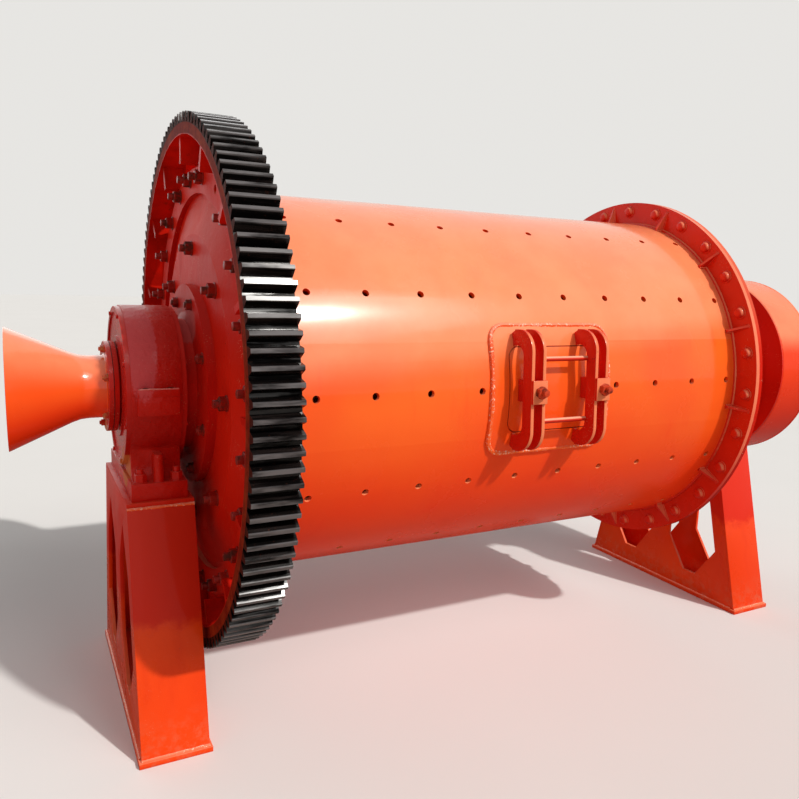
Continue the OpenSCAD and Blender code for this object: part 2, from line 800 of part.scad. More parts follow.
shell_plate(11, 2);  // shell_plate_6
hatch_plate();  // shell_hatch_plate
hatch_seat();
hatch_cover();
hatch_clamps();
hatch_bars();
gear_half(1);  // gear_half_upper
gear_half(-1);  // gear_half_lower
discharge_shell_flange();
feed_shell_flange();
discharge_head();
feed_head();
trunnion(discharge_seat_x, discharge_bearing_x, -1, discharge_neck_r);  // discharge_trunnion
trunnion(feed_seat_x, feed_bearing_x, 1, feed_neck_r);  // feed_trunnion
discharge_bell();
feed_drum_shell();
feed_drum_plate(feed_drum_x0, bore_r);  // feed_drum_inner_plate
feed_drum_plate(feed_drum_x1 - drum_t, feed_mouth_r);  // feed_drum_outer_plate
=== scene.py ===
"""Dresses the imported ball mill: enamel, gear, bolts, welds, hatch, bearings, studio and camera."""
import json
import logging
import math
import random
from dataclasses import dataclass
from enum import Enum
from typing import Iterable, Optional, Sequence, Union

import bmesh
import bpy
from mathutils import Matrix, Vector, noise


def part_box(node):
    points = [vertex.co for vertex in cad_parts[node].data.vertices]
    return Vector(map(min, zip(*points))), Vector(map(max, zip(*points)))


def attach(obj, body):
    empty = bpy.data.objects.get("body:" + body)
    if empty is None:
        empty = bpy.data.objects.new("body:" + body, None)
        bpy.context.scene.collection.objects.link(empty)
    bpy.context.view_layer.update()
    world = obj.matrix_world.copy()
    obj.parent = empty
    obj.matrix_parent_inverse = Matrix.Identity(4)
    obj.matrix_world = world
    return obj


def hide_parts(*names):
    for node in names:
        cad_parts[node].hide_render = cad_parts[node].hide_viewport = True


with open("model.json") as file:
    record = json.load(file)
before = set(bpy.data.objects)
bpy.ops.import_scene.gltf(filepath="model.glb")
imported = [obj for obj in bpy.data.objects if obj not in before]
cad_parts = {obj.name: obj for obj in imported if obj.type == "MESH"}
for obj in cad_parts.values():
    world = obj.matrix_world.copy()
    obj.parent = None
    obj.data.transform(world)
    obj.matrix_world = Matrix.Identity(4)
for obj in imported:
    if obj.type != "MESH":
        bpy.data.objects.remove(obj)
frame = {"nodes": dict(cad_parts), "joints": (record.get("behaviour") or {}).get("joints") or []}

LOG = logging.getLogger("ball_mill")
TAU = 2 * math.pi
SHARP_ANGLE = math.radians(32)
MERGE = 1e-5
FLAT_ANGLE = math.radians(0.4)
CORNER_ANGLE = math.radians(40)
SIDES = (-1, 1)
UP = Vector((0, 0, 1))

Number = Union[int, float]
Triple = tuple[float, float, float]
Colour = Triple


class Body(Enum):
    """The two bodies that pieces ride on."""

    BASE = "base"
    DRUM = "drum"


class Slot(Enum):
    """The record's material slots, which pieces carry."""

    ORANGE = "orange_enamel"
    RED = "red_enamel"
    GEAR = "gear_steel"


class End(Enum):
    """The mill's two ends, as their nodes are named."""

    DISCHARGE = "discharge"
    FEED = "feed"


class Way(Enum):
    """Ways along the mill, as a sign on X."""

    DISCHARGE = -1
    FEED = 1


def paint(red: int, green: int, blue: int) -> Colour:
    """Turns a screen colour into the linear colour that shaders use.

    Args:
        red: Red, 0 to 255.
        green: Green, 0 to 255.
        blue: Blue, 0 to 255.

    Returns:
        The linear colour.
    """
    def linear(value: int) -> float:
        """Returns one linear channel."""
        share = value / 255
        return share / 12.92 if share <= 0.04045 else ((share + 0.055) / 1.055) ** 2.4

    return linear(red), linear(green), linear(blue)


# The deep colours here are darker coat and also painted shade on faces that look down; the pale ones are
# a painted sheen on faces that look up or out.
ORANGE = paint(255, 108, 34)
ORANGE_DEEP_AND_SHADE = paint(246, 48, 18)
ORANGE_PAINTED_SHEEN = paint(255, 174, 130)
RED = paint(214, 28, 14)
RED_DEEP_AND_SHADE = paint(160, 14, 8)
RED_PAINTED_SHEEN = paint(222, 84, 76)
DUST = paint(196, 150, 118)
BARE = paint(74, 34, 26)
PITS = paint(40, 22, 18)
GREASE = paint(10, 8, 8)
GREASE_DRY = paint(36, 29, 28)
GREASE_RUSTY = paint(78, 40, 28)
# Pale tooth tops: worn steel and a painted sky reflection.
WORN_STEEL_AND_SHEEN = paint(104, 100, 102)
TOOTH_SIDE = paint(36, 20, 16)
WEB_DEEP = paint(112, 16, 8)
WEB_BARE = paint(70, 30, 20)
RUST = paint(118, 24, 12)
RUST_LIGHT = paint(146, 50, 22)
RUST_DARK = paint(44, 22, 16)


class Signal:
    """A number that changes over a surface; arithmetic on it adds Math nodes."""

    def __init__(self, tree: "ShaderTree", socket: bpy.types.NodeSocket) -> None:
        """Wraps a socket of a tree."""
        self.tree = tree
        self.socket = socket

    def _math(self, operation: str, first: "Operand", second: "Operand") -> "Signal":
        """Adds a Math node and returns its result."""
        node = self.tree.node("ShaderNodeMath", {"operation": operation}, {0: first, 1: second})
        return Signal(self.tree, node.outputs[0])

    def __add__(self, other: "Operand") -> "Signal":
        """Returns self + other."""
        return self._math("ADD", self, other)

    def __radd__(self, other: "Operand") -> "Signal":
        """Returns other + self."""
        return self._math("ADD", other, self)

    def __sub__(self, other: "Operand") -> "Signal":
        """Returns self - other."""
        return self._math("SUBTRACT", self, other)

    def __rsub__(self, other: "Operand") -> "Signal":
        """Returns other - self."""
        return self._math("SUBTRACT", other, self)

    def __mul__(self, other: "Operand") -> "Signal":
        """Returns self * other."""
        return self._math("MULTIPLY", self, other)

    def __rmul__(self, other: "Operand") -> "Signal":
        """Returns other * self."""
        return self._math("MULTIPLY", other, self)

    def __pow__(self, other: "Operand") -> "Signal":
        """Returns self to the power of other."""
        return self._math("POWER", self, other)

    def __abs__(self) -> "Signal":
        """Returns self without its sign."""
        return self._math("ABSOLUTE", self, 0.0)

    def highest(self, other: "Operand") -> "Signal":
        """Returns the greater of two signals."""
        return self._math("MAXIMUM", self, other)

    def rise(self, low: float, high: float) -> "Signal":
        """Maps low..high to a smooth 0..1; a high below low makes it fall.

        Args:
            low: Where the result is 0.
            high: Where the result is 1.

        Returns:
            The mapped signal, kept between 0 and 1.
        """
        if low > high:
            return 1.0 - self.rise(high, low)
        node = self.tree.node(
            "ShaderNodeMapRange", {"interpolation_type": "SMOOTHSTEP"},
            {"Value": self, "From Min": low, "From Max": high, "To Min": 0.0, "To Max": 1.0})
        return Signal(self.tree, node.outputs["Result"])


Operand = Union[Signal, Number]
Feed = Union[Signal, bpy.types.NodeSocket, Number, Sequence[float]]


class ShaderTree:
    """A node tree of a material or of the sky."""

    def __init__(self, tree: bpy.types.NodeTree) -> None:
        """Takes over a tree and empties it."""
        self.tree = tree
        self.tree.nodes.clear()

    def node(self, kind: str, settings: Optional[dict[str, object]] = None,
             inputs: Optional[dict[Union[str, int], Feed]] = None) -> bpy.types.Node:
        """Adds one node.

        Args:
            kind: The node's type.
            settings: Properties, which are set first.
            inputs: Values or links of its sockets.

        Returns:
            The new node.
        """
        made = self.tree.nodes.new(kind)
        for name, value in (settings or {}).items():
            setattr(made, name, value)
        for name, value in (inputs or {}).items():
            socket = made.inputs[name]
            if isinstance(value, Signal):
                self.tree.links.new(value.socket, socket)
            elif isinstance(value, bpy.types.NodeSocket):
                self.tree.links.new(value, socket)
            elif isinstance(value, (int, float)):
                socket.default_value = value
            else:
                want = len(socket.default_value)
                socket.default_value = (*value, 1.0)[:want] if len(value) < want else value
        return made

    def rays(self, *kinds: str) -> Signal:
        """Tells kinds of light ray apart.

        Args:
            *kinds: Kinds of ray, such as Camera.

        Returns:
            1 for rays of these kinds, 0 for others.
        """
        path = self.node("ShaderNodeLightPath")
        first, *others = [Signal(self, path.outputs[f"Is {kind} Ray"]) for kind in kinds]
        for other in others:
            first = first.highest(other)
        return first


class FinishTree(ShaderTree):
    """The tree of one finish, with the few patterns that the finishes are made of."""

    def __init__(self, name: str) -> None:
        """Starts an empty material.

        Args:
            name: Name of the material.
        """
        self.material = bpy.data.materials.new(name)
        self.material.use_nodes = True
        super().__init__(self.material.node_tree)
        coordinates = self.node("ShaderNodeTexCoord").outputs
        self.place = coordinates["Object"]
        self.facing = coordinates["Normal"]

    def stretched(self, by: Sequence[float]) -> bpy.types.NodeSocket:
        """Returns the object's coordinates, scaled along each axis."""
        made = self.node("ShaderNodeVectorMath", {"operation": "MULTIPLY"}, {0: self.place, 1: by})
        return made.outputs[0]

    def noise(self, scale: float, detail: float = 4.0, rough: float = 0.55,
              stretch: Sequence[float] = (1, 1, 1)) -> Signal:
        """Adds a noise pattern.

        Args:
            scale: Features in a metre.
            detail: Octaves.
            rough: Share of the finer octaves.
            stretch: Scale along each axis.

        Returns:
            The pattern, about 0.25 to 0.75.
        """
        place = self.place if tuple(stretch) == (1, 1, 1) else self.stretched(stretch)
        made = self.node("ShaderNodeTexNoise", inputs={
            "Vector": place, "Scale": scale, "Detail": detail, "Roughness": rough})
        return Signal(self, made.outputs[0])

    def cells(self, scale: float) -> Signal:
        """Returns the distance to the nearest of scattered points, scale of them to the metre."""
        made = self.node("ShaderNodeTexVoronoi", inputs={"Vector": self.place, "Scale": scale})
        return Signal(self, made.outputs["Distance"])

    def parts(self, vector: bpy.types.NodeSocket) -> list[Signal]:
        """Splits a vector into its three numbers."""
        made = self.node("ShaderNodeSeparateXYZ", inputs={0: vector})
        return [Signal(self, output) for output in made.outputs]

    def lean(self, way: Sequence[float]) -> Signal:
        """Returns how far the surface faces a way: 1 is straight at it, -1 is straight away."""
        made = self.node("ShaderNodeVectorMath", {"operation": "DOT_PRODUCT"}, {0: self.facing, 1: way})
        return Signal(self, made.outputs["Value"])

    def distance(self, point: Sequence[float], stretch: Sequence[float]) -> Signal:
        """Measures the distance from a point, with the axes scaled.

        Args:
            point: The point, in metres.
            stretch: Scale along each axis.

        Returns:
            The distance, in metres.
        """
        made = self.node("ShaderNodeVectorMath", {"operation": "DISTANCE"}, {
            0: self.stretched(stretch), 1: [p * s for p, s in zip(point, stretch)]})
        return Signal(self, made.outputs["Value"])

    def mix(self, share: Operand, low: Feed, high: Feed) -> bpy.types.NodeSocket:
        """Mixes two colours.

        Args:
            share: 0 gives low, 1 gives high.
            low: Colour at 0.
            high: Colour at 1.

        Returns:
            The mixed colour.
        """
        made = self.node("ShaderNodeMix", {"data_type": "RGBA"}, {0: share, 6: low, 7: high})
        return made.outputs[2]

    def bump(self, height: Signal, depth: float, under: Optional[bpy.types.NodeSocket] = None
             ) -> bpy.types.NodeSocket:
        """Adds relief.

        Args:
            height: The relief's height, 0 to 1.
            depth: What 1 stands for, in metres.
            under: A normal that the relief lies on.

        Returns:
            The bent normal.
        """
        inputs: dict[Union[str, int], Feed] = {"Height": height, "Strength": 1.0, "Distance": depth}
        if under is not None:
            inputs["Normal"] = under
        return self.node("ShaderNodeBump", inputs=inputs).outputs[0]

    def close(self, **sockets: Feed) -> bpy.types.Material:
        """Ends the tree in a Principled shader.

        Args:
            **sockets: The shader's sockets, with underscores for spaces.

        Returns:
            The finished material.
        """
        inputs = {name.replace("_", " "): value for name, value in sockets.items()}
        shader = self.node("ShaderNodeBsdfPrincipled", inputs=inputs)
        self.node("ShaderNodeOutputMaterial", inputs={"Surface": shader.outputs[0]})
        return self.material


@dataclass(frozen=True)
class Patch:
    """A place where a coat differs: a spot of wear, dust or primer, or of painted shade or painted sheen.

    Attributes:
        centre: Middle of the patch, in metres.
        reach: Radius at which the patch has faded out.
        colour: Colour that shows there.
        strength: Share of the coat that it covers, 0 to 1.
        grain: Features of its ragged edge in a metre.
        stretch: Scale of each axis; 2 makes the patch half as long that way.
    """

    centre: Triple
    reach: float
    colour: Colour
    strength: float
    grain: float
    stretch: Triple = (1.0, 1.0, 1.0)

    def cover(self, tree: FinishTree) -> Signal:
        """Adds the patch's ragged outline.

        Args:
            tree: Tree of the coat.

        Returns:
            The share of the coat that the patch covers.
        """
        rag = tree.noise(self.grain, 5, 0.7)
        near = tree.distance(self.centre, self.stretch).rise(self.reach, self.reach * 0.45)
        return (near + 0.9 * rag - 0.45).rise(0.45, 0.72) * self.strength


@dataclass(frozen=True)
class Finish:
    """A finish, whose material is made once.

    Attributes:
        name: Name of the material.
    """

    name: str

    def material(self) -> bpy.types.Material:
        """Returns the finish's material, made on first use."""
        known = bpy.data.materials.get(self.name)
        return known if known else self._make(FinishTree(self.name))

    def _make(self, tree: FinishTree) -> bpy.types.Material:
        """Builds the node tree and returns its material; each finish has its own."""
        raise NotImplementedError


@dataclass(frozen=True)
class Enamel(Finish):
    """Glossy enamel on plate or castings, with painted shade on faces that look down and a painted sheen
    on faces that look up or out.

    Attributes:
        colour: Colour of the new coat.
        deep_and_shade: Colour where the coat lies thick or tones darker, and the painted shade on faces
            that look down.
        painted_sheen: Colour of the painted sheen, a pale sky reflection on faces that look one way.
        gloss: Roughness of the clean coat.
        gleam: Strength of the plain reflection off the coat.
        varnish: Weight of the clear gloss over the coat.
        sheen: Roughness of the clear gloss.
        cast: Depth of the casting's rough skin under the coat, in metres.
        peel: Depth of the spray's fine texture, in metres.
        wave: Depth of the plate's slow waves, in metres.
        chips: Share of small chips, 0 to 1.
        grime: Share of dirt near the ground, 0 to 1.
        glint: Colour of fine specks.
        sparkle: Share of painted glints, bright specks as on a sunlit weld bead, 0 to 1.
        painted_sheen_share: Share of the painted sheen on the faces that look that way, 0 to 1.
        painted_sheen_way: The way that the faces with the painted sheen look.
        painted_sheen_edge: Lean towards that way at which the painted sheen starts and is full.
        painted_sheen_slope: What that lean loses along the mill, for each metre.
        patches: Places where the coat differs.
    """

    colour: Colour
    deep_and_shade: Colour
    painted_sheen: Colour
    gloss: float = 0.2
    gleam: float = 0.18
    varnish: float = 0.12
    sheen: float = 0.07
    cast: float = 0.0
    peel: float = 0.0002
    wave: float = 0.0
    chips: float = 0.3
    grime: float = 0.3
    glint: Colour = (0.84, 0.55, 0.35)
    sparkle: float = 0.0
    painted_sheen_share: float = 0.4
    painted_sheen_way: Triple = (0.0, 0.0, 1.0)
    painted_sheen_edge: tuple[float, float] = (0.1, 0.8)
    painted_sheen_slope: float = 0.0
    patches: tuple[Patch, ...] = ()

    def _make(self, tree: FinishTree) -> bpy.types.Material:
        """Builds the node tree.

        Args:
            tree: The empty tree.

        Returns:
            The enamel's material.
        """
        along, _, height = tree.parts(tree.place)
        _, _, up = tree.parts(tree.facing)
        tone = tree.noise(1.7, 3, 0.5)
        foot = height.rise(0.2, 0.0) * tree.noise(26, 6, 0.7).rise(0.42, 0.68)
        dust = (foot * self.grime).highest(up.rise(0.9, 1.0) * tone * 0.5 * self.grime)
        ragged = tree.cells(58) + 0.3 * (tree.noise(150, 3) - 0.5)
        fleck = ragged.rise(0.17, 0.11) * tree.noise(12, 3).rise(0.66 - 0.16 * self.chips, 0.76)
        chip = fleck * min(1.0, 2.2 * self.chips)
        coat = tree.mix(dust, self._coat(tree, tone, along, up), DUST)
        coat = self._specks(tree, tree.mix(chip, coat, BARE))
        rough = self.gloss + 0.16 * tree.noise(3.1, 5, 0.6).rise(0.42, 0.75) + 0.4 * dust + 0.35 * chip
        for patch in self.patches:
            marked = patch.cover(tree)
            coat = tree.mix(marked, coat, patch.colour)
            rough = rough + 0.3 * marked
        clear = up.rise(-0.45, 0.05) * self.varnish
        return tree.close(Base_Color=coat, Roughness=rough, Normal=self._relief(tree, chip),
                          Specular_IOR_Level=self.gleam, Coat_Weight=clear, Coat_Roughness=self.sheen)

    def _coat(self, tree: FinishTree, tone: Signal, along: Signal, up: Signal) -> bpy.types.NodeSocket:
        """Adds the uneven coat, with painted shade on faces that look down and a painted sheen on faces
        that look the sheen's way.

        Args:
            tree: Tree of the coat.
            tone: Slow pattern of the coat's tone.
            along: Place along the mill, in metres.
            up: How far the surface faces up.

        Returns:
            Its colour.
        """
        sag = tree.noise(9, 3, 0.6, stretch=(1, 1, 0.16))
        coat = tree.mix(tone.rise(0.36, 0.66) * 0.34, self.colour, self.deep_and_shade)
        coat = tree.mix(sag.rise(0.56, 0.74) * 0.22, coat, self.deep_and_shade)
        # Painted shade: faces that look down take the deep colour.
        coat = tree.mix(up.rise(0.06, -0.6) * 0.72, coat, self.deep_and_shade)
        # Painted sheen: faces that look the given way take the pale colour, as the sky's reflection, with
        # an uneven edge.
        lean = tree.lean(self.painted_sheen_way) + 0.05 * (tree.noise(5, 4, 0.6) - 0.5)
        if self.painted_sheen_slope:
            lean = lean - self.painted_sheen_slope * along
        uneven = 0.78 + 0.22 * tree.noise(4.2, 5, 0.62).rise(0.34, 0.7)
        return tree.mix(lean.rise(*self.painted_sheen_edge) * uneven * self.painted_sheen_share, coat, self.painted_sheen)

    def _specks(self, tree: FinishTree, coat: bpy.types.NodeSocket) -> bpy.types.NodeSocket:
        """Adds fine bright specks.

        Args:
            tree: Tree of the coat.
            coat: Colour under the specks.

        Returns:
            The colour with the specks.
        """
        speck = tree.cells(130).rise(0.2, 0.1) * tree.noise(9, 3).rise(0.62 - 0.2 * self.chips, 0.7)
        coat = tree.mix(speck * min(1.0, 1.4 * self.chips), coat, self.glint)
        # Painted glints: bright specks, as where the sun catches a weld's ripples.
        if self.sparkle:
            spark = tree.noise(120, 3, 0.7).rise(0.54, 0.64) * tree.noise(10, 2).rise(0.36, 0.56)
            coat = tree.mix(spark * self.sparkle, coat, self.glint)
        return coat

    def _relief(self, tree: FinishTree, chip: Signal) -> bpy.types.NodeSocket:
        """Adds the coat's relief.

        Args:
            tree: Tree of the coat.
            chip: Where the coat is chipped off.

        Returns:
            The bent normal.
        """
        relief = tree.bump(tree.noise(300, 2, 0.5), self.peel)
        if self.cast:
            relief = tree.bump(tree.noise(46, 5, 0.65), self.cast, relief)
            relief = tree.bump(tree.noise(9, 3, 0.5), self.cast * 2.4, relief)
        if self.wave:
            relief = tree.bump(tree.noise(2.1, 2, 0.45), self.wave, relief)
            relief = tree.bump(tree.noise(30, 2, 0.5, stretch=(0.2, 1, 1)), self.wave * 0.03, relief)
        return tree.bump(1.0 - chip, 0.0005, relief)


@dataclass(frozen=True)
class GearFinish(Finish):
    """Black greased teeth on a brown rim, with the web and the arms in red enamel.

    Attributes:
        axis_z: Height of the gear's axis.
        rim_in: Radius of the rim's inner wall.
        root: Radius of the teeth's roots.
        tip: Radius of the teeth's tops.
        red: Colour of the web.
    """

    axis_z: float
    rim_in: float
    root: float
    tip: float
    red: Colour

    def _make(self, tree: FinishTree) -> bpy.types.Material:
        """Builds the node tree.

        Args:
            tree: The empty tree.

        Returns:
            The gear's material.
        """
        _, across, height = tree.parts(tree.place)
        lift = height - self.axis_z
        radius = (across * across + lift * lift) ** 0.5
        flat = abs(tree.parts(tree.facing)[0]).rise(0.6, 0.8)
        ragged = radius + 0.012 * (tree.noise(22, 5, 0.65) - 0.5)
        rim = ragged.rise(self.rim_in - 0.002, self.rim_in + 0.006)
        toothed = radius.rise(self.root - 0.004, self.root - 0.001)
        # Pale tooth tops: worn steel and a painted sky reflection.
        top = radius.rise(self.tip - 0.006, self.tip - 0.002) * (1.0 - flat)
        marked = top * tree.noise(26, 4, 0.6, stretch=(0.2, 1, 1)).rise(0.3, 0.62)
        streak = tree.noise(34, 4, 0.6, stretch=(0.12, 1, 1))
        on_side = tree.mix(toothed * 0.8, self._side(tree, rim * flat), TOOTH_SIDE)
        grease = tree.mix(streak.rise(0.46, 0.7), GREASE, GREASE_DRY)
        grease = tree.mix(tree.noise(75, 4, 0.7).rise(0.6, 0.72) * 0.4, grease, GREASE_RUSTY)
        grease = tree.mix(marked * 0.85, grease, WORN_STEEL_AND_SHEEN)
        colour = tree.mix(toothed * (1.0 - flat), on_side, grease)
        smear = tree.noise(70, 3, 0.6, stretch=(0.15, 1, 1)).rise(0.35, 0.7)
        rough = 0.28 - 0.1 * toothed + 0.2 * smear * toothed + 0.3 * flat * rim
        relief = tree.bump(tree.noise(85, 5, 0.6), 0.0004)
        relief = tree.bump(streak * toothed, 0.0011, relief)
        relief = tree.bump(tree.noise(11, 3, 0.5), 0.001, relief)
        wet = (toothed * (1.0 - flat) * streak.rise(0.42, 0.6)).highest(marked)
        return tree.close(Base_Color=colour, Roughness=rough, Normal=relief, Coat_Weight=wet,
                          Coat_Roughness=0.2, Specular_IOR_Level=0.02)

    def _side(self, tree: FinishTree, rusty: Signal) -> bpy.types.NodeSocket:
        """Adds the red web and the rusty side of the rim.

        Args:
            tree: Tree of the gear.
            rusty: Where the rim's side is.

        Returns:
            Its colour.
        """
        web = tree.mix(tree.noise(5, 5, 0.6).rise(0.35, 0.7) * 0.55, self.red, WEB_DEEP)
        web = tree.mix(tree.noise(13, 5, 0.7).rise(0.6, 0.72) * 0.5, web, WEB_BARE)
        rust = tree.mix(tree.noise(16, 6, 0.65).rise(0.34, 0.68), RUST, RUST_LIGHT)
        rust = tree.mix(tree.noise(60, 4, 0.7).rise(0.52, 0.7) * 0.6, rust, RUST_DARK)
        return tree.mix(rusty, web, rust)


@dataclass(frozen=True)
class Metal(Finish):
    """Bare or thinly painted metal of small parts.

    Attributes:
        colour: Clean colour.
        stain: Colour of the stains.
        stained: Share of stain, 0 to 1.
        metallic: How metallic the clean colour is.
        gloss: Roughness of the clean metal.
    """

    colour: Colour
    stain: Colour
    stained: float = 0.5
    metallic: float = 0.0
    gloss: float = 0.35

    def _make(self, tree: FinishTree) -> bpy.types.Material:
        """Builds the node tree.

        Args:
            tree: The empty tree.

        Returns:
            The metal's material.
        """
        stain = tree.noise(24, 5, 0.65).rise(0.68 - 0.36 * self.stained, 0.78 - 0.3 * self.stained)
        colour = tree.mix(stain, self.colour, self.stain)
        colour = tree.mix(tree.noise(90, 3, 0.6).rise(0.5, 0.75) * 0.35, colour, PITS)
        relief = tree.bump(tree.noise(160, 4, 0.65), 0.0005)
        return tree.close(Base_Color=colour, Roughness=self.gloss + 0.3 * stain, Normal=relief,
                          Metallic=(1.0 - stain) * self.metallic, Specular_IOR_Level=0.2)


@dataclass(frozen=True)
class StudioFloor(Finish):
    """Plain pale floor.

    Attributes:
        name: Name of the material.
        colour: Colour of the floor, as it is seen.
        shade: Colour of its slightly darker areas.
        bounce: Colour with which it lights what stands on it.
        mirrored: Colour that shows in glossy paint.
    """

    name: str = "studio_floor"
    colour: Colour = (0.82, 0.815, 0.81)
    shade: Colour = (0.78, 0.775, 0.77)
    bounce: Colour = (0.6, 0.48, 0.4)
    mirrored: Colour = (0.32, 0.29, 0.27)

    def _make(self, tree: FinishTree) -> bpy.types.Material:
        """Builds the node tree.

        Args:
            tree: The empty tree.

        Returns:
            The floor's material.
        """
        tone = tree.mix(tree.noise(0.6, 3).rise(0.3, 0.7) * 0.3, self.colour, self.shade)
        unseen = tree.mix(tree.rays("Glossy"), self.bounce, self.mirrored)
        tone = tree.mix(tree.rays("Camera", "Transmission"), unseen, tone)
        return tree.close(Base_Color=tone, Roughness=0.8, Specular_IOR_Level=0.0)


AXIS_Z = frame["joints"][0]["pos_m"][2]
# Painted glints and sheen: weld beads carry bright specks and are pale on faces that look up.
WELD_ENAMEL = Enamel("weld_enamel", paint(252, 92, 44), ORANGE, paint(255, 196, 164), gloss=0.18,
                     cast=0.0008, chips=0.6, grime=0.0, painted_sheen_share=0.5, glint=paint(255, 236, 212),
                     sparkle=0.85)


def radii(node: str) -> tuple[float, float]:
    """Returns a node's least and greatest distance from the mill's axis."""
    found = [math.hypot(v.co.y, v.co.z - AXIS_Z) for v in frame["nodes"][node].data.vertices]
    return min(found), max(found)


def span(node: str) -> tuple[float, float]:
    """Returns where a node starts and ends along the mill."""
    low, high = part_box(node)
    return low.x, high.x


def outward(angle: float) -> Vector:
    """Returns the way out from the axis at an angle in degrees, counted up from the -Y side."""
    turn = math.radians(angle)
    return Vector((0, -math.cos(turn), math.sin(turn)))


def round_the_mill(x: float, radius: float, angle: float) -> Vector:
    """Returns a point at a place along the mill, a radius and an angle in degrees."""
    return Vector((x, 0, AXIS_Z)) + radius * outward(angle)


def stand(point: Vector, up: Vector, turn: float = 0.0) -> Matrix:
    """Returns the placement of a part that is modelled on +Z.

    Args:
        point: Where its seat goes.
        up: The way it points.
        turn: Turn about its own axis, in radians.

    Returns:
        The placement.
    """
    upright = up.normalized().to_track_quat("Z", "X").to_matrix().to_4x4()
    return Matrix.Translation(point) @ upright @ Matrix.Rotation(turn, 4, "Z")


def in_scene(name: str, data: bpy.types.ID) -> bpy.types.Object:
    """Puts a mesh, a lamp or a camera into the scene.

    Args:
        name: Name of the object.
        data: What it shows.

    Returns:
        The new object.
    """
    made = bpy.data.objects.new(name, data)
    bpy.context.scene.collection.objects.link(made)
    return made


def dress(nodes: Iterable[str], finish: Finish) -> None:
    """Gives CAD nodes a finish in place of their plain one.

    Args:
        nodes: The CAD nodes.
        finish: Their finish.
    """
    for node in nodes:
        materials = frame["nodes"][node].data.materials
        materials.clear()
        materials.append(finish.material())


class Piece:
    """One new piece: a mesh that is gathered from shapes, then dressed and put on a body."""

    def __init__(self, name: str, body: Body, slot: Slot) -> None:
        """Starts an empty piece.

        Args:
            name: Name of the piece.
            body: Body that it rides on.
            slot: The record's slot; it is not used.
        """
        self.name = name
        self.body = body
        self.slot = slot
        self.mesh = bmesh.new()

    def add(self, shape: bmesh.types.BMesh, places: Iterable[Matrix] = (Matrix.Identity(4),)) -> "Piece":
        """Adds copies of a shape, and frees the shape.

        Args:
            shape: The shape to copy.
            places: A placement for each copy.

        Returns:
            The piece itself.
        """
        pattern = bpy.data.meshes.new("pattern")
        shape.to_mesh(pattern)
        shape.free()
        for place in places:
            copy = pattern.copy()
            copy.transform(place)
            self.mesh.from_mesh(copy)
            bpy.data.meshes.remove(copy)
        bpy.data.meshes.remove(pattern)
        return self

    def finish(self, finish: Finish, *replaces: str) -> None:
        """Turns the gathered mesh into an object, dressed and riding its body.

        Args:
            finish: The finish.
            *replaces: CAD nodes that the piece stands for.
        """
        data = bpy.data.meshes.new(self.name)
        self.mesh.to_mesh(data)
        self.mesh.free()
        data.shade_smooth()
        data.set_sharp_from_angle(angle=SHARP_ANGLE)
        data.materials.append(finish.material())
        made = in_scene(self.name, data)
        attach(made, self.body.value)
        if replaces:
            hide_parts(*replaces)
        LOG.info("%s: %d faces on %s", self.name, len(data.polygons), self.body.value)


def lathe(profile: Sequence[tuple[float, float]], steps: int) -> bmesh.types.BMesh:
    """Turns a closed profile round the mill's axis.

    Args:
        profile: Points as place along the mill and radius.
        steps: Steps of the full turn.

    Returns:
        The turned shape.
    """
    shape = bmesh.new()
    points = [shape.verts.new((x, -radius, AXIS_Z)) for x, radius in profile]
    edges = [shape.edges.new(pair) for pair in zip(points, points[1:] + points[:1])]
    bmesh.ops.spin(shape, geom=points + edges, cent=(0, 0, AXIS_Z), axis=(1, 0, 0), angle=TAU,
                   steps=steps, use_merge=True, use_duplicate=False)
    bmesh.ops.remove_doubles(shape, verts=shape.verts, dist=MERGE)
    bmesh.ops.recalc_face_normals(shape, faces=shape.faces)
    return shape


def rod(radius: float, length: float, sides: int, bevel: float = 0.0, segments: int = 2
        ) -> bmesh.types.BMesh:
    """Makes an upright rod on z = 0.

    Args:
        radius: Its radius.
        length: Its length.
        sides: Number of its sides.
        bevel: Width of the bevel round its top.
        segments: Steps of the bevel.

    Returns:
        The rod.
    """
    shape = bmesh.new()
    bmesh.ops.create_cone(shape, cap_ends=True, segments=sides, radius1=radius, radius2=radius,
                          depth=length, matrix=Matrix.Translation((0, 0, length / 2)))
    if bevel:
        top = [e for e in shape.edges if all(v.co.z > length * 0.9 for v in e.verts)]
        bmesh.ops.bevel(shape, geom=top, offset=bevel, offset_type="OFFSET", affect="EDGES",
                        segments=segments, profile=0.5, material=-1)
    return shape


def joined(*shapes: bmesh.types.BMesh) -> bmesh.types.BMesh:
    """Gathers several shapes in one, and frees the others.

    Args:
        *shapes: The shapes.

    Returns:
        The first shape, with the others added.
    """
    first, *others = shapes
    for other in others:
        carrier = bpy.data.meshes.new("carrier")
        other.to_mesh(carrier)
        other.free()
        first.from_mesh(carrier)
        bpy.data.meshes.remove(carrier)
    return first


def softened(node: str, width: float) -> bmesh.types.BMesh:
    """Copies a node's mesh, merges it and rounds its sharp edges.

    Args:
        node: The CAD node.
        width: Width of the rounding.

    Returns:
        The rounded copy.
    """
    shape = bmesh.new()
    shape.from_mesh(frame["nodes"][node].data)
    bmesh.ops.remove_doubles(shape, verts=shape.verts, dist=MERGE)
    bmesh.ops.dissolve_limit(shape, angle_limit=FLAT_ANGLE, verts=shape.verts,
                             edges=shape.edges, use_dissolve_boundaries=False)
    sharp = [e for e in shape.edges
             if len(e.link_faces) == 2 and e.calc_face_angle(0.0) > CORNER_ANGLE]
    bmesh.ops.bevel(shape, geom=sharp, offset=width, offset_type="OFFSET", affect="EDGES",
                    segments=2, profile=0.5, material=-1, clamp_overlap=True)
    return shape


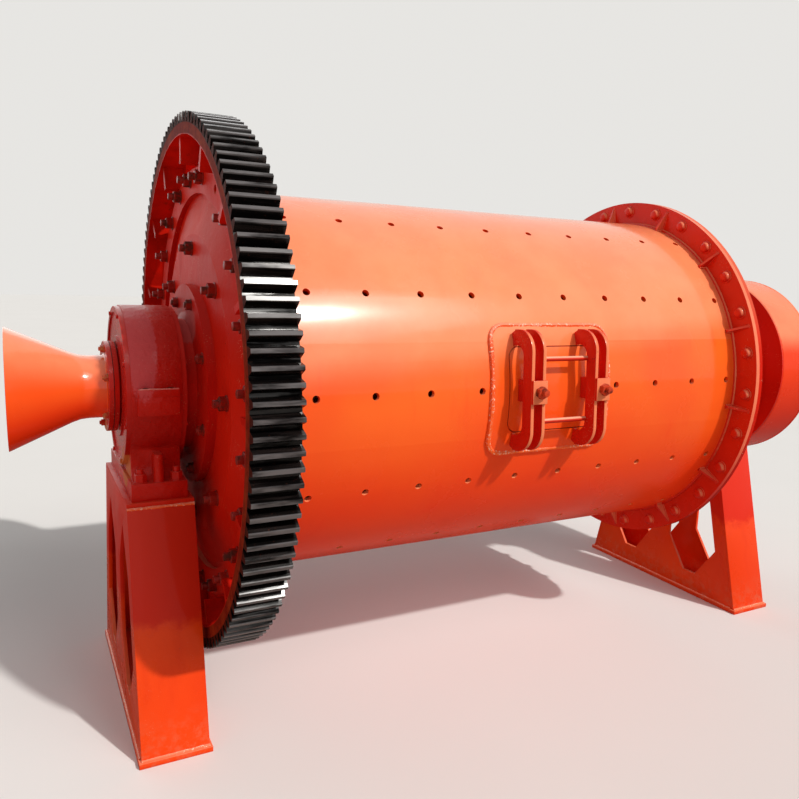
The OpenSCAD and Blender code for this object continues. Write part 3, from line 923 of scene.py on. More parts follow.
@dataclass(frozen=True)
class HexBolt:
    """Stud end with a hexagon nut and a washer, modelled on +Z.

    Attributes:
        across: Width across the nut's flats.
        nut: Height of the nut.
        washer: Thickness of the washer, or 0 for none.
        stud: What the stud stands out of the nut.
    """

    across: float
    nut: float
    washer: float = 0.004
    stud: float = 0.012

    def shape(self) -> bmesh.types.BMesh:
        """Models the nut, its washer and the stud's end.

        Returns:
            The shape.
        """
        corner = self.across / math.sqrt(3)
        head = rod(corner, self.nut, 6, self.across * 0.06, segments=1)
        bmesh.ops.translate(head, vec=(0, 0, self.washer), verts=head.verts)
        parts = [head]
        if self.washer:
            parts.append(rod(corner * 1.12, self.washer, 20, self.washer * 0.3))
        if self.stud:
            height = self.washer + self.nut + self.stud
            parts.append(rod(self.across * 0.32, height, 14, self.across * 0.05))
        return joined(*parts)


@dataclass(frozen=True)
class DomeBolt:
    """Round-headed bolt on a thin collar, modelled on +Z.

    Attributes:
        radius: Radius of the head.
        height: Height of the head.
        collar: Thickness of the collar.
    """

    radius: float
    height: float
    collar: float = 0.004

    def shape(self) -> bmesh.types.BMesh:
        """Returns the shape."""
        head = rod(self.radius, self.height, 22, self.height * 0.6, segments=3)
        return joined(head, rod(self.radius * 1.25, self.collar, 22, self.collar / 4))


@dataclass(frozen=True)
class BoltCircle:
    """Bolts in a circle round the mill's axis.

    Attributes:
        radius: Radius of the circle.
        count: Number of bolts.
        first: Angle of the first bolt, in degrees.
        missing: Angle of a bolt that is left out, or None.
        tilt: Greatest turn of a nut about its own axis, in radians.
    """

    radius: float
    count: int
    first: float = 0.0
    missing: Optional[float] = None
    tilt: float = 0.5

    def places(self, x: float, way: Way, seed: int) -> list[Matrix]:
        """Returns a placement for each bolt.

        Args:
            x: Place of the seat along the mill.
            way: The way that the bolts point.
            seed: Seed of the nuts' turns.

        Returns:
            The placements.
        """
        draw = random.Random(seed)
        pitch = 360 / self.count
        found = []
        for index in range(self.count):
            angle = self.first + index * pitch
            turn = draw.uniform(-self.tilt, self.tilt)
            if self.missing is not None and abs(angle - self.missing) < pitch / 2:
                continue
            point = round_the_mill(x, self.radius, angle)
            found.append(stand(point, Vector((way.value, 0, 0)), turn))
        return found


@dataclass(frozen=True)
class Weld:
    """Rippled weld bead.

    Attributes:
        width: Radius of the bead's section.
        ripple: Share by which its radius changes.
        pitch: Length of a ripple.
        sides: Number of sides of its section.
    """

    width: float
    ripple: float
    pitch: float = 0.009
    sides: int = 7

    def along(self, path: Sequence[Vector], closed: bool = False) -> bmesh.types.BMesh:
        """Lays the bead along a path.

        Args:
            path: Points of the path.
            closed: Joins the last point to the first.

        Returns:
            The bead.
        """
        shape = bmesh.new()
        headings = self._headings(path, closed)
        turn = headings[0].to_track_quat("Z", "X")
        matrices = []
        for point, before, ahead in zip(path, headings[:1] + headings, headings):
            turn = before.rotation_difference(ahead) @ turn
            matrices.append(Matrix.Translation(point) @ turn.to_matrix().to_4x4()
                            @ Matrix.Scale(self._swell(point), 4))
        ring = bmesh.ops.create_circle(shape, segments=self.sides, radius=self.width,
                                       matrix=matrices[0])["verts"]
        first = edges = list(dict.fromkeys(e for v in ring for e in v.link_edges))
        for last, place in zip(matrices, matrices[1:]):
            grown = bmesh.ops.extrude_edge_only(shape, edges=edges)["geom"]
            edges = [g for g in grown if isinstance(g, bmesh.types.BMEdge)]
            verts = [g for g in grown if isinstance(g, bmesh.types.BMVert)]
            bmesh.ops.transform(shape, matrix=place @ last.inverted(), verts=verts)
        if closed:
            bmesh.ops.bridge_loops(shape, edges=first + edges)
        else:
            bmesh.ops.holes_fill(shape, edges=shape.edges, sides=0)
        bmesh.ops.recalc_face_normals(shape, faces=shape.faces)
        return shape

    def _headings(self, path: Sequence[Vector], closed: bool) -> list[Vector]:
        """Returns the way that a path goes at each of its points.

        Args:
            path: Points of the path.
            closed: Whether the last point joins the first.

        Returns:
            A heading for each point.
        """
        last = len(path) - 1
        found = []
        for index in range(len(path)):
            after = path[(index + 1) % len(path)] if closed else path[min(index + 1, last)]
            before = path[index - 1] if closed else path[max(index - 1, 0)]
            found.append((after - before).normalized())
        return found

    def _swell(self, point: Vector) -> float:
        """Returns the bead's relative width at a point."""
        waves = noise.noise(point / self.pitch) + noise.noise(point / (self.pitch * 7))
        return 1 + self.ripple * waves

    def line(self, start: Vector, end: Vector) -> bmesh.types.BMesh:
        """Lays the bead along a straight line."""
        steps = max(2, round((end - start).length / (self.pitch * 0.5)))
        return self.along([start.lerp(end, index / steps) for index in range(steps + 1)])

    def ring(self, x: float, radius: float) -> bmesh.types.BMesh:
        """Lays the bead right round the mill."""
        steps = round(TAU * radius / (self.pitch * 0.6))
        return self.along([round_the_mill(x, radius, 360 * k / steps) for k in range(steps)], True)


@dataclass
class Barrel:
    """The rolled shell with its flanges, gussets and welds.

    Attributes:
        ring_weld: Weld round a flange.
        gusset_weld: Weld along a gusset.
        weld_lift: Height of a weld's middle above its plate.
        gusset_first: Angle of the first gusset, in degrees.
        gusset_count: Number of gussets.
        gusset_length: Length of a gusset along the shell.
        gusset_half: Distance of a gusset's welds from its middle.
        gusset_tip: Distance of the welds' ends from the flange's rim.
        head_bolt: Bolt head towards the shell.
        nut: Nut on the head's side.
        seat: Distance of the nuts' seat from the head's inner end.
        circle: The bolts' circle.
    """

    ring_weld: Weld = Weld(width=0.008, ripple=0.2)
    gusset_weld: Weld = Weld(width=0.0045, ripple=0.3, pitch=0.012)
    weld_lift: float = 0.002
    gusset_first: float = -6.5
    gusset_count: int = 14
    gusset_length: float = 0.042
    gusset_half: float = 0.006
    gusset_tip: float = 0.018
    head_bolt: DomeBolt = DomeBolt(0.024, 0.02)
    nut: HexBolt = HexBolt(0.046, 0.024, stud=0.014)
    seat: float = 0.044
    circle: BoltCircle = BoltCircle(0.832, 28, -1.7)

    def build(self) -> None:
        """Dresses the shell and adds its welds and bolts."""
        # Painted sky reflection: the shell's upper half is pale, with a sharp edge that drops along the
        # mill.
        enamel = Enamel("shell_enamel", ORANGE, ORANGE_DEEP_AND_SHADE, ORANGE_PAINTED_SHEEN, gleam=0.16, varnish=0.6,
                        sheen=0.12, wave=0.003, chips=0.12, grime=0.1, painted_sheen_share=0.62,
                        painted_sheen_edge=(0.16, 0.36), painted_sheen_slope=0.1)
        plates = [f"shell_plate_{index}" for index in range(1, 7)]
        dress(plates + ["shell_hatch_plate", "hatch_seat", "hatch_cover"], enamel)
        # Painted highlight: the flanges' rims are pale where they look forward and up.
        flanges = Enamel("flange_enamel", paint(234, 46, 20), paint(196, 24, 10), ORANGE_PAINTED_SHEEN,
                         gloss=0.26, wave=0.0015, chips=0.5, grime=0.4, painted_sheen_share=0.55,
                         painted_sheen_way=(0.0, -0.8, 0.6), painted_sheen_edge=(0.25, 0.8))
        dress(["feed_shell_flange", "discharge_shell_flange"], flanges)
        face = span("feed_shell_flange")[0] + self.gusset_length
        self._welds(face, flanges)
        self._bolts(face, flanges)

    def _welds(self, face: float, finish: Finish) -> None:
        """Adds the welds round the flanges and along the gussets.

        Args:
            face: Place of the feed flange's face along the mill.
            finish: Finish of the welds.
        """
        _, shell_r = radii("shell_plate_3")
        _, flange_r = radii("feed_shell_flange")
        foot_r = shell_r + self.weld_lift
        welds = Piece("shell_flange_welds", Body.DRUM, Slot.ORANGE)
        for x in (face - self.weld_lift, span("discharge_shell_flange")[1] + self.weld_lift):
            welds.add(self.ring_weld.ring(x, foot_r))
        for index in range(self.gusset_count):
            for side in SIDES:
                middle = self.gusset_first + index * 360 / self.gusset_count
                low = middle + math.degrees(side * self.gusset_half / shell_r)
                high = middle + math.degrees(side * self.gusset_half / flange_r)
                corner = round_the_mill(face, foot_r, low)
                welds.add(self.gusset_weld.line(
                    round_the_mill(face - self.gusset_length, foot_r, low), corner))
                welds.add(self.gusset_weld.line(
                    corner, round_the_mill(face, flange_r - self.gusset_tip, high)))
        welds.finish(finish)

    def _bolts(self, face: float, finish: Finish) -> None:
        """Adds the bolts of the feed flange, heads towards the shell.

        Args:
            face: Place of the feed flange's face along the mill.
            finish: Finish of the bolts.
        """
        outer_face = span("feed_head")[0] + self.seat
        bolts = Piece("feed_flange_bolts", Body.DRUM, Slot.ORANGE)
        bolts.add(self.head_bolt.shape(), self.circle.places(face, Way.DISCHARGE, 11))
        bolts.add(self.nut.shape(), self.circle.places(outer_face, Way.FEED, 12)).finish(finish)


@dataclass
class Ends:
    """The two heads and the hollow trunnions on them.

    Attributes:
        flange_bolt: Bolt of the discharge head's flange.
        back_nut: Nut behind that flange.
        long_stud: Stud in the middle of a head.
        trunnion_bolt: Bolt of a trunnion's flange.
        flange_circle: The flange's bolts, of which one hole stays empty.
        flange_depth: Distance of the head flange's face from the gear's face.
        stud_circle: The long studs of a head.
        discharge_circle: The discharge trunnion's bolts.
        feed_circle: The feed trunnion's bolts.
        trunnion_seat: Distance of the trunnion bolts' seat from a head's face.
        boss: Place of the pale pink spot on top of the discharge trunnion.
    """

    flange_bolt: HexBolt = HexBolt(0.046, 0.026, stud=0.022)
    back_nut: HexBolt = HexBolt(0.046, 0.02, stud=0.0)
    long_stud: HexBolt = HexBolt(0.046, 0.026, stud=0.02)
    trunnion_bolt: HexBolt = HexBolt(0.036, 0.018, washer=0.003, stud=0.006)
    flange_circle: BoltCircle = BoltCircle(0.812, 24, 5.2, missing=65.2)
    flange_depth: float = 0.066
    stud_circle: BoltCircle = BoltCircle(0.54, 8)
    discharge_circle: BoltCircle = BoltCircle(0.348, 8, 22.5)
    feed_circle: BoltCircle = BoltCircle(0.366, 8, 22.5)
    trunnion_seat: float = 0.034
    boss: float = 0.26

    def build(self) -> None:
        """Dresses the heads and trunnions and adds their bolts."""
        head = Enamel("head_enamel", paint(224, 32, 10), RED_DEEP_AND_SHADE, ORANGE_PAINTED_SHEEN, gloss=0.42,
                      gleam=0.06, varnish=0.0, cast=0.001, chips=0.6)
        dress(["discharge_head", "feed_head"], head)
        boss_x = span("discharge_trunnion")[0] + self.boss
        # A pale pink spot on top of the discharge trunnion.
        marked = Patch((boss_x, -0.12, AXIS_Z + 0.24), 0.13, paint(190, 110, 110), 0.45, 60.0)
        trunnion = Enamel("trunnion_enamel", RED, RED_DEEP_AND_SHADE, RED_PAINTED_SHEEN, gloss=0.4, gleam=0.08,
                          varnish=0.0, cast=0.001, chips=0.6, patches=(marked,))
        dress(["discharge_trunnion", "feed_trunnion"], trunnion)
        steel = Metal("head_bolts", paint(150, 28, 18), paint(84, 30, 20), 0.55, gloss=0.34)
        front = span("gear_half_upper")[0] + self.flange_depth
        back = span("discharge_shell_flange")[1]
        piece = Piece("discharge_head_bolts", Body.DRUM, Slot.RED)
        piece.add(self.flange_bolt.shape(), self.flange_circle.places(front, Way.DISCHARGE, 21))
        piece.add(self.back_nut.shape(), self.flange_circle.places(back, Way.FEED, 22))
        self._inner(piece, span("discharge_head")[0], Way.DISCHARGE, self.discharge_circle, 23)
        piece.finish(steel)
        piece = Piece("feed_head_bolts", Body.DRUM, Slot.RED)
        self._inner(piece, span("feed_head")[1], Way.FEED, self.feed_circle, 25)
        piece.finish(steel)

    def _inner(self, piece: Piece, face: float, way: Way, circle: BoltCircle, seed: int) -> None:
        """Adds a head's long studs and its trunnion's bolts.

        Args:
            piece: The piece that they go to.
            face: Place of the head's face along the mill.
            way: The way that the face looks.
            circle: The trunnion's bolts.
            seed: Seed of the nuts' turns.
        """
        piece.add(self.long_stud.shape(), self.stud_circle.places(face, way, seed))
        seat = face + way.value * self.trunnion_seat
        piece.add(self.trunnion_bolt.shape(), circle.places(seat, way, seed + 1))


@dataclass
class GirthGear:
    """The split girth gear.

    Attributes:
        joint_bolt: Bolt of the split.
        joint_inset: Distance of the bolts from the gear's two faces.
        joint_out: Distance of the bolts from the middle of the web, outwards.
        flange_depth: Height of the bolts' seats above the split.
        tooth: Depth of the teeth.
        rim: Thickness of the rim.
    """

    joint_bolt: HexBolt = HexBolt(0.036, 0.02, stud=0.01)
    joint_inset: float = 0.036
    joint_out: float = 0.01
    flange_depth: float = 0.012
    tooth: float = 0.036
    rim: float = 0.044

    def build(self) -> None:
        """Dresses both halves and adds the bolts of the split."""
        _, tip = radii("gear_half_upper")
        root = tip - self.tooth
        rim_in = root - self.rim
        finish = GearFinish("gear_grease", AXIS_Z, rim_in, root, tip, RED)
        dress(["gear_half_upper", "gear_half_lower"], finish)
        x0, x1 = span("gear_half_upper")
        middle = (radii("discharge_head")[1] + rim_in) / 2 + self.joint_out
        places = [stand(Vector((x, side * middle, AXIS_Z + up * self.flange_depth)), Vector((0, 0, up)))
                  for side in SIDES for x in (x0 + self.joint_inset, x1 - self.joint_inset)
                  for up in SIDES]
        steel = Metal("gear_bolts", paint(120, 24, 14), paint(60, 30, 22), 0.6)
        Piece("gear_split_bolts", Body.DRUM, Slot.GEAR).add(self.joint_bolt.shape(), places).finish(steel)


@dataclass
class Bearing:
    """One split bearing housing with its cap, covers and bolts.

    Attributes:
        end: The end that it stands at.
        soft: Width of the castings' rounded edges.
        screw: Screw of the covers.
        screw_circle: The screws of a cover.
        lug_screw: Screw on a lug.
        lug_shift: Distance of a lug's screws from its middle.
        lug_in: Distance of the screws from the lug's outer face.
        lug_top: Height of a lug's top above the split.
        lug_half: Half the length of a lug.
        lug_turn: Turn of the lug screws about their own axes, in radians.
        ledge: The bead along a lug's top edge, pale as a painted highlight.
        ledge_in: Distance of the ledge from the lug's outer face.
        foot_bolt: Bolt of the foot.
        foot_height: Height of the foot.
        foot_shift: Distance of the foot's bolts from its middle, along the mill.
        foot_side: Distance of the foot's bolts from the axis, across the mill.
        foot_turn: Turn of the foot's nuts about their own axes, in radians.
    """

    end: End
    soft: float = 0.005
    screw: HexBolt = HexBolt(0.015, 0.006, washer=0.0, stud=0.0)
    screw_circle: BoltCircle = BoltCircle(0.298, 8, 22.5)
    lug_screw: DomeBolt = DomeBolt(0.014, 0.004)
    lug_shift: float = 0.042
    lug_in: float = 0.018
    lug_top: float = 0.028
    lug_half: float = 0.07
    lug_turn: float = 0.3
    ledge: Weld = Weld(width=0.0045, ripple=0.3, pitch=0.012)
    ledge_in: float = 0.004
    foot_bolt: HexBolt = HexBolt(0.04, 0.03, washer=0.003, stud=0.018)
    foot_height: float = 0.065
    foot_shift: float = 0.064
    foot_side: float = 0.29
    foot_turn: float = 0.2

    def build(self) -> None:
        """Dresses the castings and adds covers' screws, lug screws, ledges and foot bolts."""
        x0, x1 = span(f"{self.end.value}_housing_cap")
        # Painted sky sheen: a pale pink band on the upper near side of the housing.
        marked = Patch((x0 + 0.04, -0.25, AXIS_Z + 0.2), 0.21, paint(222, 104, 112), 0.5, 90.0,
                     stretch=(2.6, 0.7, 0.62))
        primer = Patch((x0 - 0.02, -0.15, AXIS_Z - 0.29), 0.11, paint(206, 120, 62), 0.8, 40.0)
        enamel = Enamel(f"{self.end.value}_housing_enamel", paint(212, 28, 12), RED_DEEP_AND_SHADE, RED_PAINTED_SHEEN,
                        gloss=0.26, gleam=0.15, varnish=0.08, cast=0.0042, chips=0.4, painted_sheen_share=0.3,
                        patches=(marked, primer))
        for part in ("housing", "housing_cap"):
            node = f"{self.end.value}_{part}"
            casting = Piece(f"{node}_casting", Body.BASE, Slot.RED)
            casting.add(softened(node, self.soft)).finish(enamel, node)
        covers = Enamel(f"{self.end.value}_cover_enamel", paint(214, 34, 22), RED_DEEP_AND_SHADE, RED_PAINTED_SHEEN,
                        cast=0.0005, chips=0.4, patches=(primer,))
        dress([f"{self.end.value}_end_covers"], covers)
        ring = Metal("ring_bronze", paint(196, 150, 84), paint(120, 84, 44), 0.4, 0.9, 0.3)
        dress([f"{self.end.value}_bearing_ring"], ring)
        self._bolts((x0 + x1) / 2, enamel)
        self._ledges((x0 + x1) / 2)

    def _bolts(self, middle: float, finish: Finish) -> None:
        """Adds the screws of the covers and the bolts of lugs and foot.

        Args:
            middle: Place of the housing's middle along the mill.
            finish: Finish of the bolts.
        """
        face_low, face_high = span(f"{self.end.value}_end_covers")
        screws = self.screw_circle.places(face_low, Way.DISCHARGE, 31)
        screws += self.screw_circle.places(face_high, Way.FEED, 31)
        low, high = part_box(f"{self.end.value}_housing_cap")
        foot_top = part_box(f"{self.end.value}_housing")[0].z + self.foot_height
        lugs = [stand(Vector((middle + shift * self.lug_shift, side * (high.y - self.lug_in),
                              low.z + self.lug_top)), UP, self.lug_turn)
                for side in SIDES for shift in SIDES]
        feet = [stand(Vector((middle + shift * self.foot_shift, side * self.foot_side, foot_top)),
                      UP, self.foot_turn) for side in SIDES for shift in SIDES]
        piece = Piece(f"{self.end.value}_bearing_bolts", Body.BASE, Slot.RED)
        piece.add(self.screw.shape(), screws).add(self.lug_screw.shape(), lugs)
        piece.add(self.foot_bolt.shape(), feet).finish(finish)

    def _ledges(self, middle: float) -> None:
        """Adds a bead along the top edge of each lug, pale as a painted highlight.

        Args:
            middle: Place of the housing's middle along the mill.
        """
        low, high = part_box(f"{self.end.value}_housing_cap")
        piece = Piece(f"{self.end.value}_lug_highlight_ledges", Body.BASE, Slot.RED)
        for side in SIDES:
            y = side * (high.y - self.ledge_in)
            piece.add(self.ledge.line(*(Vector((middle + reach * self.lug_half, y, low.z + self.lug_top))
                                        for reach in SIDES)))
        # Painted highlight: pale colour and bright specks along the lugs' top edges.
        piece.finish(Enamel("lug_highlight_enamel", paint(214, 60, 48), RED, paint(255, 190, 176), gloss=0.16,
                            cast=0.001, chips=0.8, grime=0.0, painted_sheen_share=0.7, glint=paint(255, 220, 200)))


@dataclass
class Pedestal:
    """One fabricated pedestal.

    Attributes:
        end: The end that it stands at.
        soft: Width of the plates' broken edges.
        weld: Weld between two plates.
        weld_lift: Height of a weld's middle above its plate.
        weld_in: Distance of the foot's end welds from the corners.
    """

    end: End
    soft: float = 0.0015
    weld: Weld = Weld(width=0.0055, ripple=0.22)
    weld_lift: float = 0.001
    weld_in: float = 0.02

    def build(self) -> None:
        """Dresses the plates and adds the welds."""
        low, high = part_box(f"{self.end.value}_near_side")
        # Painted shade: the pedestal's plates turn darker red towards the top.
        painted_shade = Patch(((low.x + high.x) / 2, 0.0, high.z), 0.62, paint(214, 24, 10), 0.8, 7.0,
                      stretch=(1.0, 0.0, 1.0))
        enamel = Enamel(f"{self.end.value}_pedestal_enamel", paint(248, 74, 20), paint(216, 34, 12),
                        ORANGE_PAINTED_SHEEN, gloss=0.24, gleam=0.14, peel=0.0004, wave=0.002, chips=0.15,
                        grime=0.25, patches=(painted_shade,))
        for part in ("base_plate", "outer_plate", "inner_plate", "near_side", "far_side", "top_plate"):
            node = f"{self.end.value}_{part}"
            plate = Piece(f"{node}_painted", Body.BASE, Slot.ORANGE)
            plate.add(softened(node, self.soft)).finish(enamel, node)
        self._welds(low, high)

    def _welds(self, low: Vector, high: Vector) -> None:
        """Adds the welds at the foot and the top.

        Args:
            low: Lowest corner of the near side plate.
            high: Highest corner of the near side plate.
        """
        lift = self.weld_lift
        upper = -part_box(f"{self.end.value}_top_plate")[0].y
        half_foot, half_top = -low.y, max(upper, (upper - high.y) / 2)
        runs = []
        for side in SIDES:
            for y, z in ((half_foot + lift, low.z + lift), (half_top + 2 * lift, high.z)):
                runs.append([(x, side * y, z) for x in (low.x, high.x)])
        for x in (low.x - lift, high.x + lift):
            runs.append([(x, side * (half_foot - self.weld_in), low.z) for side in SIDES])
        welds = Piece(f"{self.end.value}_pedestal_welds", Body.BASE, Slot.ORANGE)
        for start, end in runs:
            welds.add(self.weld.line(Vector(start), Vector(end)))
        welds.finish(WELD_ENAMEL)


@dataclass
class Hatch:
    """The bolted hatch: clamps, studs, bars, the seat's weld and the cover's seal.

    Attributes:
        row_angle: Angle of the hatch round the mill, in degrees.
        soft: Width of the clamps' broken edges.
        nut: Nut on a clamp's stud.
        nut_inset: Distance of the nuts from the clamps' two ends along the mill.
        nut_turn: Turn of the nuts about their own axes, in radians.
        weld: Weld round the seat.
        seal: Seal round the cover.
        seat_corner: Radius of the seat's corners.
        seat_lift: Height of the weld's middle above the shell.
        cover_corner: Radius of the cover's corners.
        cover_lift: Height of the seal's middle above the shell.
        corner_steps: Steps of a corner.
        bead_share: Share of a plate's half width at which its bead runs.
    """

    row_angle: float = 2.8
    soft: float = 0.0018
    nut: HexBolt = HexBolt(0.041, 0.022, washer=0.0, stud=0.018)
    nut_inset: float = 0.033
    nut_turn: float = 0.4
    weld: Weld = Weld(width=0.0105, ripple=0.2, pitch=0.014)
    seal: Weld = Weld(width=0.0028, ripple=0.05, pitch=0.02, sides=6)
    seat_corner: float = 0.06
    seat_lift: float = 0.004
    cover_corner: float = 0.024
    cover_lift: float = 0.006
    corner_steps: int = 12
    bead_share: float = 0.999

    def build(self) -> None:
        """Dresses the hatch and adds its hardware."""
        out = outward(self.row_angle)
        # Painted highlight: the bows are pale on the faces that look outward.
        clamp = Enamel("clamp_enamel", paint(226, 34, 16), paint(190, 22, 10), paint(255, 176, 122),
                       gloss=0.24, chips=0.7, grime=0.0, painted_sheen_share=0.55, painted_sheen_way=tuple(out),
                       painted_sheen_edge=(0.3, 0.85))
        bows = Piece("hatch_clamp_bows", Body.DRUM, Slot.ORANGE)
        bows.add(softened("hatch_clamps", self.soft)).finish(clamp, "hatch_clamps")
        # Painted highlight: the bars are pale on their upper faces.
        bars = Enamel("bar_enamel", paint(226, 52, 28), paint(170, 20, 10), paint(255, 206, 172),
                      gloss=0.18, chips=0.6, grime=0.0, painted_sheen_share=0.8, painted_sheen_edge=(0.1, 0.7))
        dress(["hatch_bars"], bars)
        x0, x1 = span("hatch_clamps")
        top = max((v.co - Vector((v.co.x, 0, AXIS_Z))).dot(out)
                  for v in frame["nodes"]["hatch_clamps"].data.vertices)
        places = [stand(round_the_mill(x, top, self.row_angle), out, self.nut_turn)
                  for x in (x0 + self.nut_inset, x1 - self.nut_inset)]
        steel = Metal("hatch_nut_steel", paint(206, 66, 34), paint(110, 34, 20), 0.6)
        Piece("hatch_nuts", Body.DRUM, Slot.ORANGE).add(self.nut.shape(), places).finish(steel)
        rubber = Metal("seal_rubber", paint(150, 24, 12), paint(104, 16, 10), 0.4, gloss=0.5)
        self._outline("hatch_seat_weld", "hatch_seat", self.weld, self.seat_corner,
                      self.seat_lift, WELD_ENAMEL)
        self._outline("hatch_cover_seal", "hatch_cover", self.seal, self.cover_corner,
                      self.cover_lift, rubber)

    def _outline(self, name: str, node: str, bead: Weld, corner: float, lift: float,
                 finish: Finish) -> None:
        """Lays a bead round a plate's outline.

        Args:
            name: Name of the piece.
            node: The plate.
            bead: The bead.
            corner: Radius of the plate's corners.
            lift: Height of the bead's middle above the shell.
            finish: Finish of the bead.
        """
        low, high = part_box(node)
        _, plate_r = radii(node)
        _, shell_r = radii("shell_plate_3")
        half_width = (high.z - low.z) / 2 / math.cos(math.radians(self.row_angle)) * self.bead_share
        centre = (low.x + high.x) / 2
        straight_x = (high.x - low.x) / 2 - corner
        straight_y = half_width - corner
        path = []
        for quarter, (sx, sy) in enumerate(((1, 1), (-1, 1), (-1, -1), (1, -1))):
            for step in range(self.corner_steps + 1):
                turn = math.radians(90 * quarter + 90 * step / self.corner_steps)
                path.append(Vector((centre + sx * straight_x + corner * math.cos(turn),
                                    sy * straight_y + corner * math.sin(turn))))
        points = [round_the_mill(spot.x, shell_r + lift,
                                 self.row_angle + math.degrees(math.asin(spot.y / plate_r)))
                  for spot in self._walk(path, bead.pitch * 0.6)]
        Piece(name, Body.DRUM, Slot.ORANGE).add(bead.along(points, closed=True)).finish(finish)

    def _walk(self, outline: Sequence[Vector], step: float) -> list[Vector]:
        """Spaces points evenly along a closed outline.

        Args:
            outline: The outline's corners.
            step: About how far apart the points are.

        Returns:
            The points.
        """
        found = []
        for start, end in zip(outline, list(outline[1:]) + [outline[0]]):
            steps = max(1, round((end - start).length / step))
            found += [start.lerp(end, k / steps) for k in range(steps)]
        return found


@dataclass
class DischargeBell:
    """The flared bell on the discharge trunnion.

    Attributes:
        cone_length: Length of the cone.
        wall: Thickness of the sheet.
        flange_width: Width of the flange beyond the trunnion's bore.
        flange_t: Thickness of the flange.
        ease: Half the length of the bend between neck and cone.
        fillet: Size of the rounding at the neck's end and at the mouth.
        fillet_mid: Distance of the rounding's middle from its corner.
        chamfer: Size of the flange's broken edges.
        steps: Steps of a full turn.
        bolt: Bolt of the flange.
        circle: The bolts' circle.
        gasket_half: Half the thickness of the gasket.
        gasket_width: Width of the gasket inside the flange's rim.
        gasket_lip: What the gasket stands out of the flange's rim.
    """

    cone_length: float = 0.248
    wall: float = 0.008
    flange_width: float = 0.07
    flange_t: float = 0.018
    ease: float = 0.03
    fillet: float = 0.006
    fillet_mid: float = 0.002
    chamfer: float = 0.001
    steps: int = 160
    bolt: HexBolt = HexBolt(0.024, 0.012, washer=0.002, stud=0.006)
    circle: BoltCircle = BoltCircle(0.15, 6, 20.0)
    gasket_half: float = 0.0012
    gasket_width: float = 0.01
    gasket_lip: float = 0.0004

    def build(self) -> None:
        """Models the bell with its rolled lip, and its flange, bolts and gasket."""
        x0, x1 = span("discharge_bell")
        inner, mouth = radii("discharge_bell")
        neck = inner + self.wall
        flange_r = radii("discharge_trunnion")[0] + self.flange_width
        throat = x1 - self.flange_t
        outer = self._flare(x0 + self.cone_length, neck, x0, mouth)
        profile = [(throat, inner), (throat, neck + self.fillet),
                   (throat - self.fillet_mid, neck + self.fillet_mid), (throat - self.fillet, neck),
                   *outer, (x0, mouth - self.fillet_mid), (x0, mouth - self.fillet)]
        profile += [(x + self.chamfer, radius - self.wall) for x, radius in reversed(outer)]
        disc = [(x1, inner), (x1, flange_r - self.chamfer), (x1 - self.chamfer, flange_r),
                (throat + self.chamfer, flange_r), (throat, flange_r - self.chamfer), (throat, inner)]
        # Painted sky sheen: the bell is pale on its upper faces.
        enamel = Enamel("bell_enamel", paint(252, 100, 36), ORANGE_DEEP_AND_SHADE, ORANGE_PAINTED_SHEEN, gloss=0.12,
                        varnish=0.5, wave=0.0006, chips=0.15, grime=0.0, painted_sheen_share=0.6,
                        painted_sheen_edge=(0.0, 0.8))
        rust = Patch((x1, 0.0, AXIS_Z - flange_r), 0.09, paint(200, 128, 74), 0.85, 30.0)
        red = Enamel("bell_flange_enamel", paint(222, 34, 16), RED_DEEP_AND_SHADE, RED_PAINTED_SHEEN, cast=0.0005,
                     chips=0.6, grime=0.0, patches=(rust,))
        for name, line, finish in (("discharge_bell_spun", profile, enamel),
                                   ("discharge_bell_flange", disc, red)):
            turned = Piece(name, Body.DRUM, Slot.ORANGE).add(lathe(line, self.steps))
            turned.finish(finish, "discharge_bell")
        bolts = Piece("bell_bolts", Body.DRUM, Slot.ORANGE)
        bolts.add(self.bolt.shape(), self.circle.places(throat, Way.DISCHARGE, 41))
        bolts.finish(Metal("bell_bolt_steel", paint(190, 52, 32), paint(196, 128, 80), 0.5))
        near, far = x1 - self.gasket_half, x1 + self.gasket_half
        low, high = flange_r - self.gasket_width, flange_r + self.gasket_lip
        seam = Piece("bell_flange_gasket", Body.DRUM, Slot.ORANGE)
        seam.add(lathe([(near, low), (near, high), (far, high), (far, low)], self.steps))
        seam.finish(Metal("gasket", paint(56, 14, 12), paint(30, 10, 10), 0.5, gloss=0.6))

    def _flare(self, root: float, neck: float, end: float, mouth: float) -> list[tuple[float, float]]:
        """Draws the outer line from the neck's root to the mouth, with an eased bend.

        Args:
            root: Where the cone starts along the mill.
            neck: Radius of the neck.
            end: Where the cone ends along the mill.
            mouth: Radius of the mouth.

        Returns:
            Its points, as place along the mill and radius.
        """
        slope = (mouth - neck) / (root - end)
        return [(root + self.ease, neck), (root, neck + slope * self.ease * 0.25),
                (root - self.ease, neck + slope * self.ease),
                (end + self.chamfer, mouth - slope * self.chamfer)]


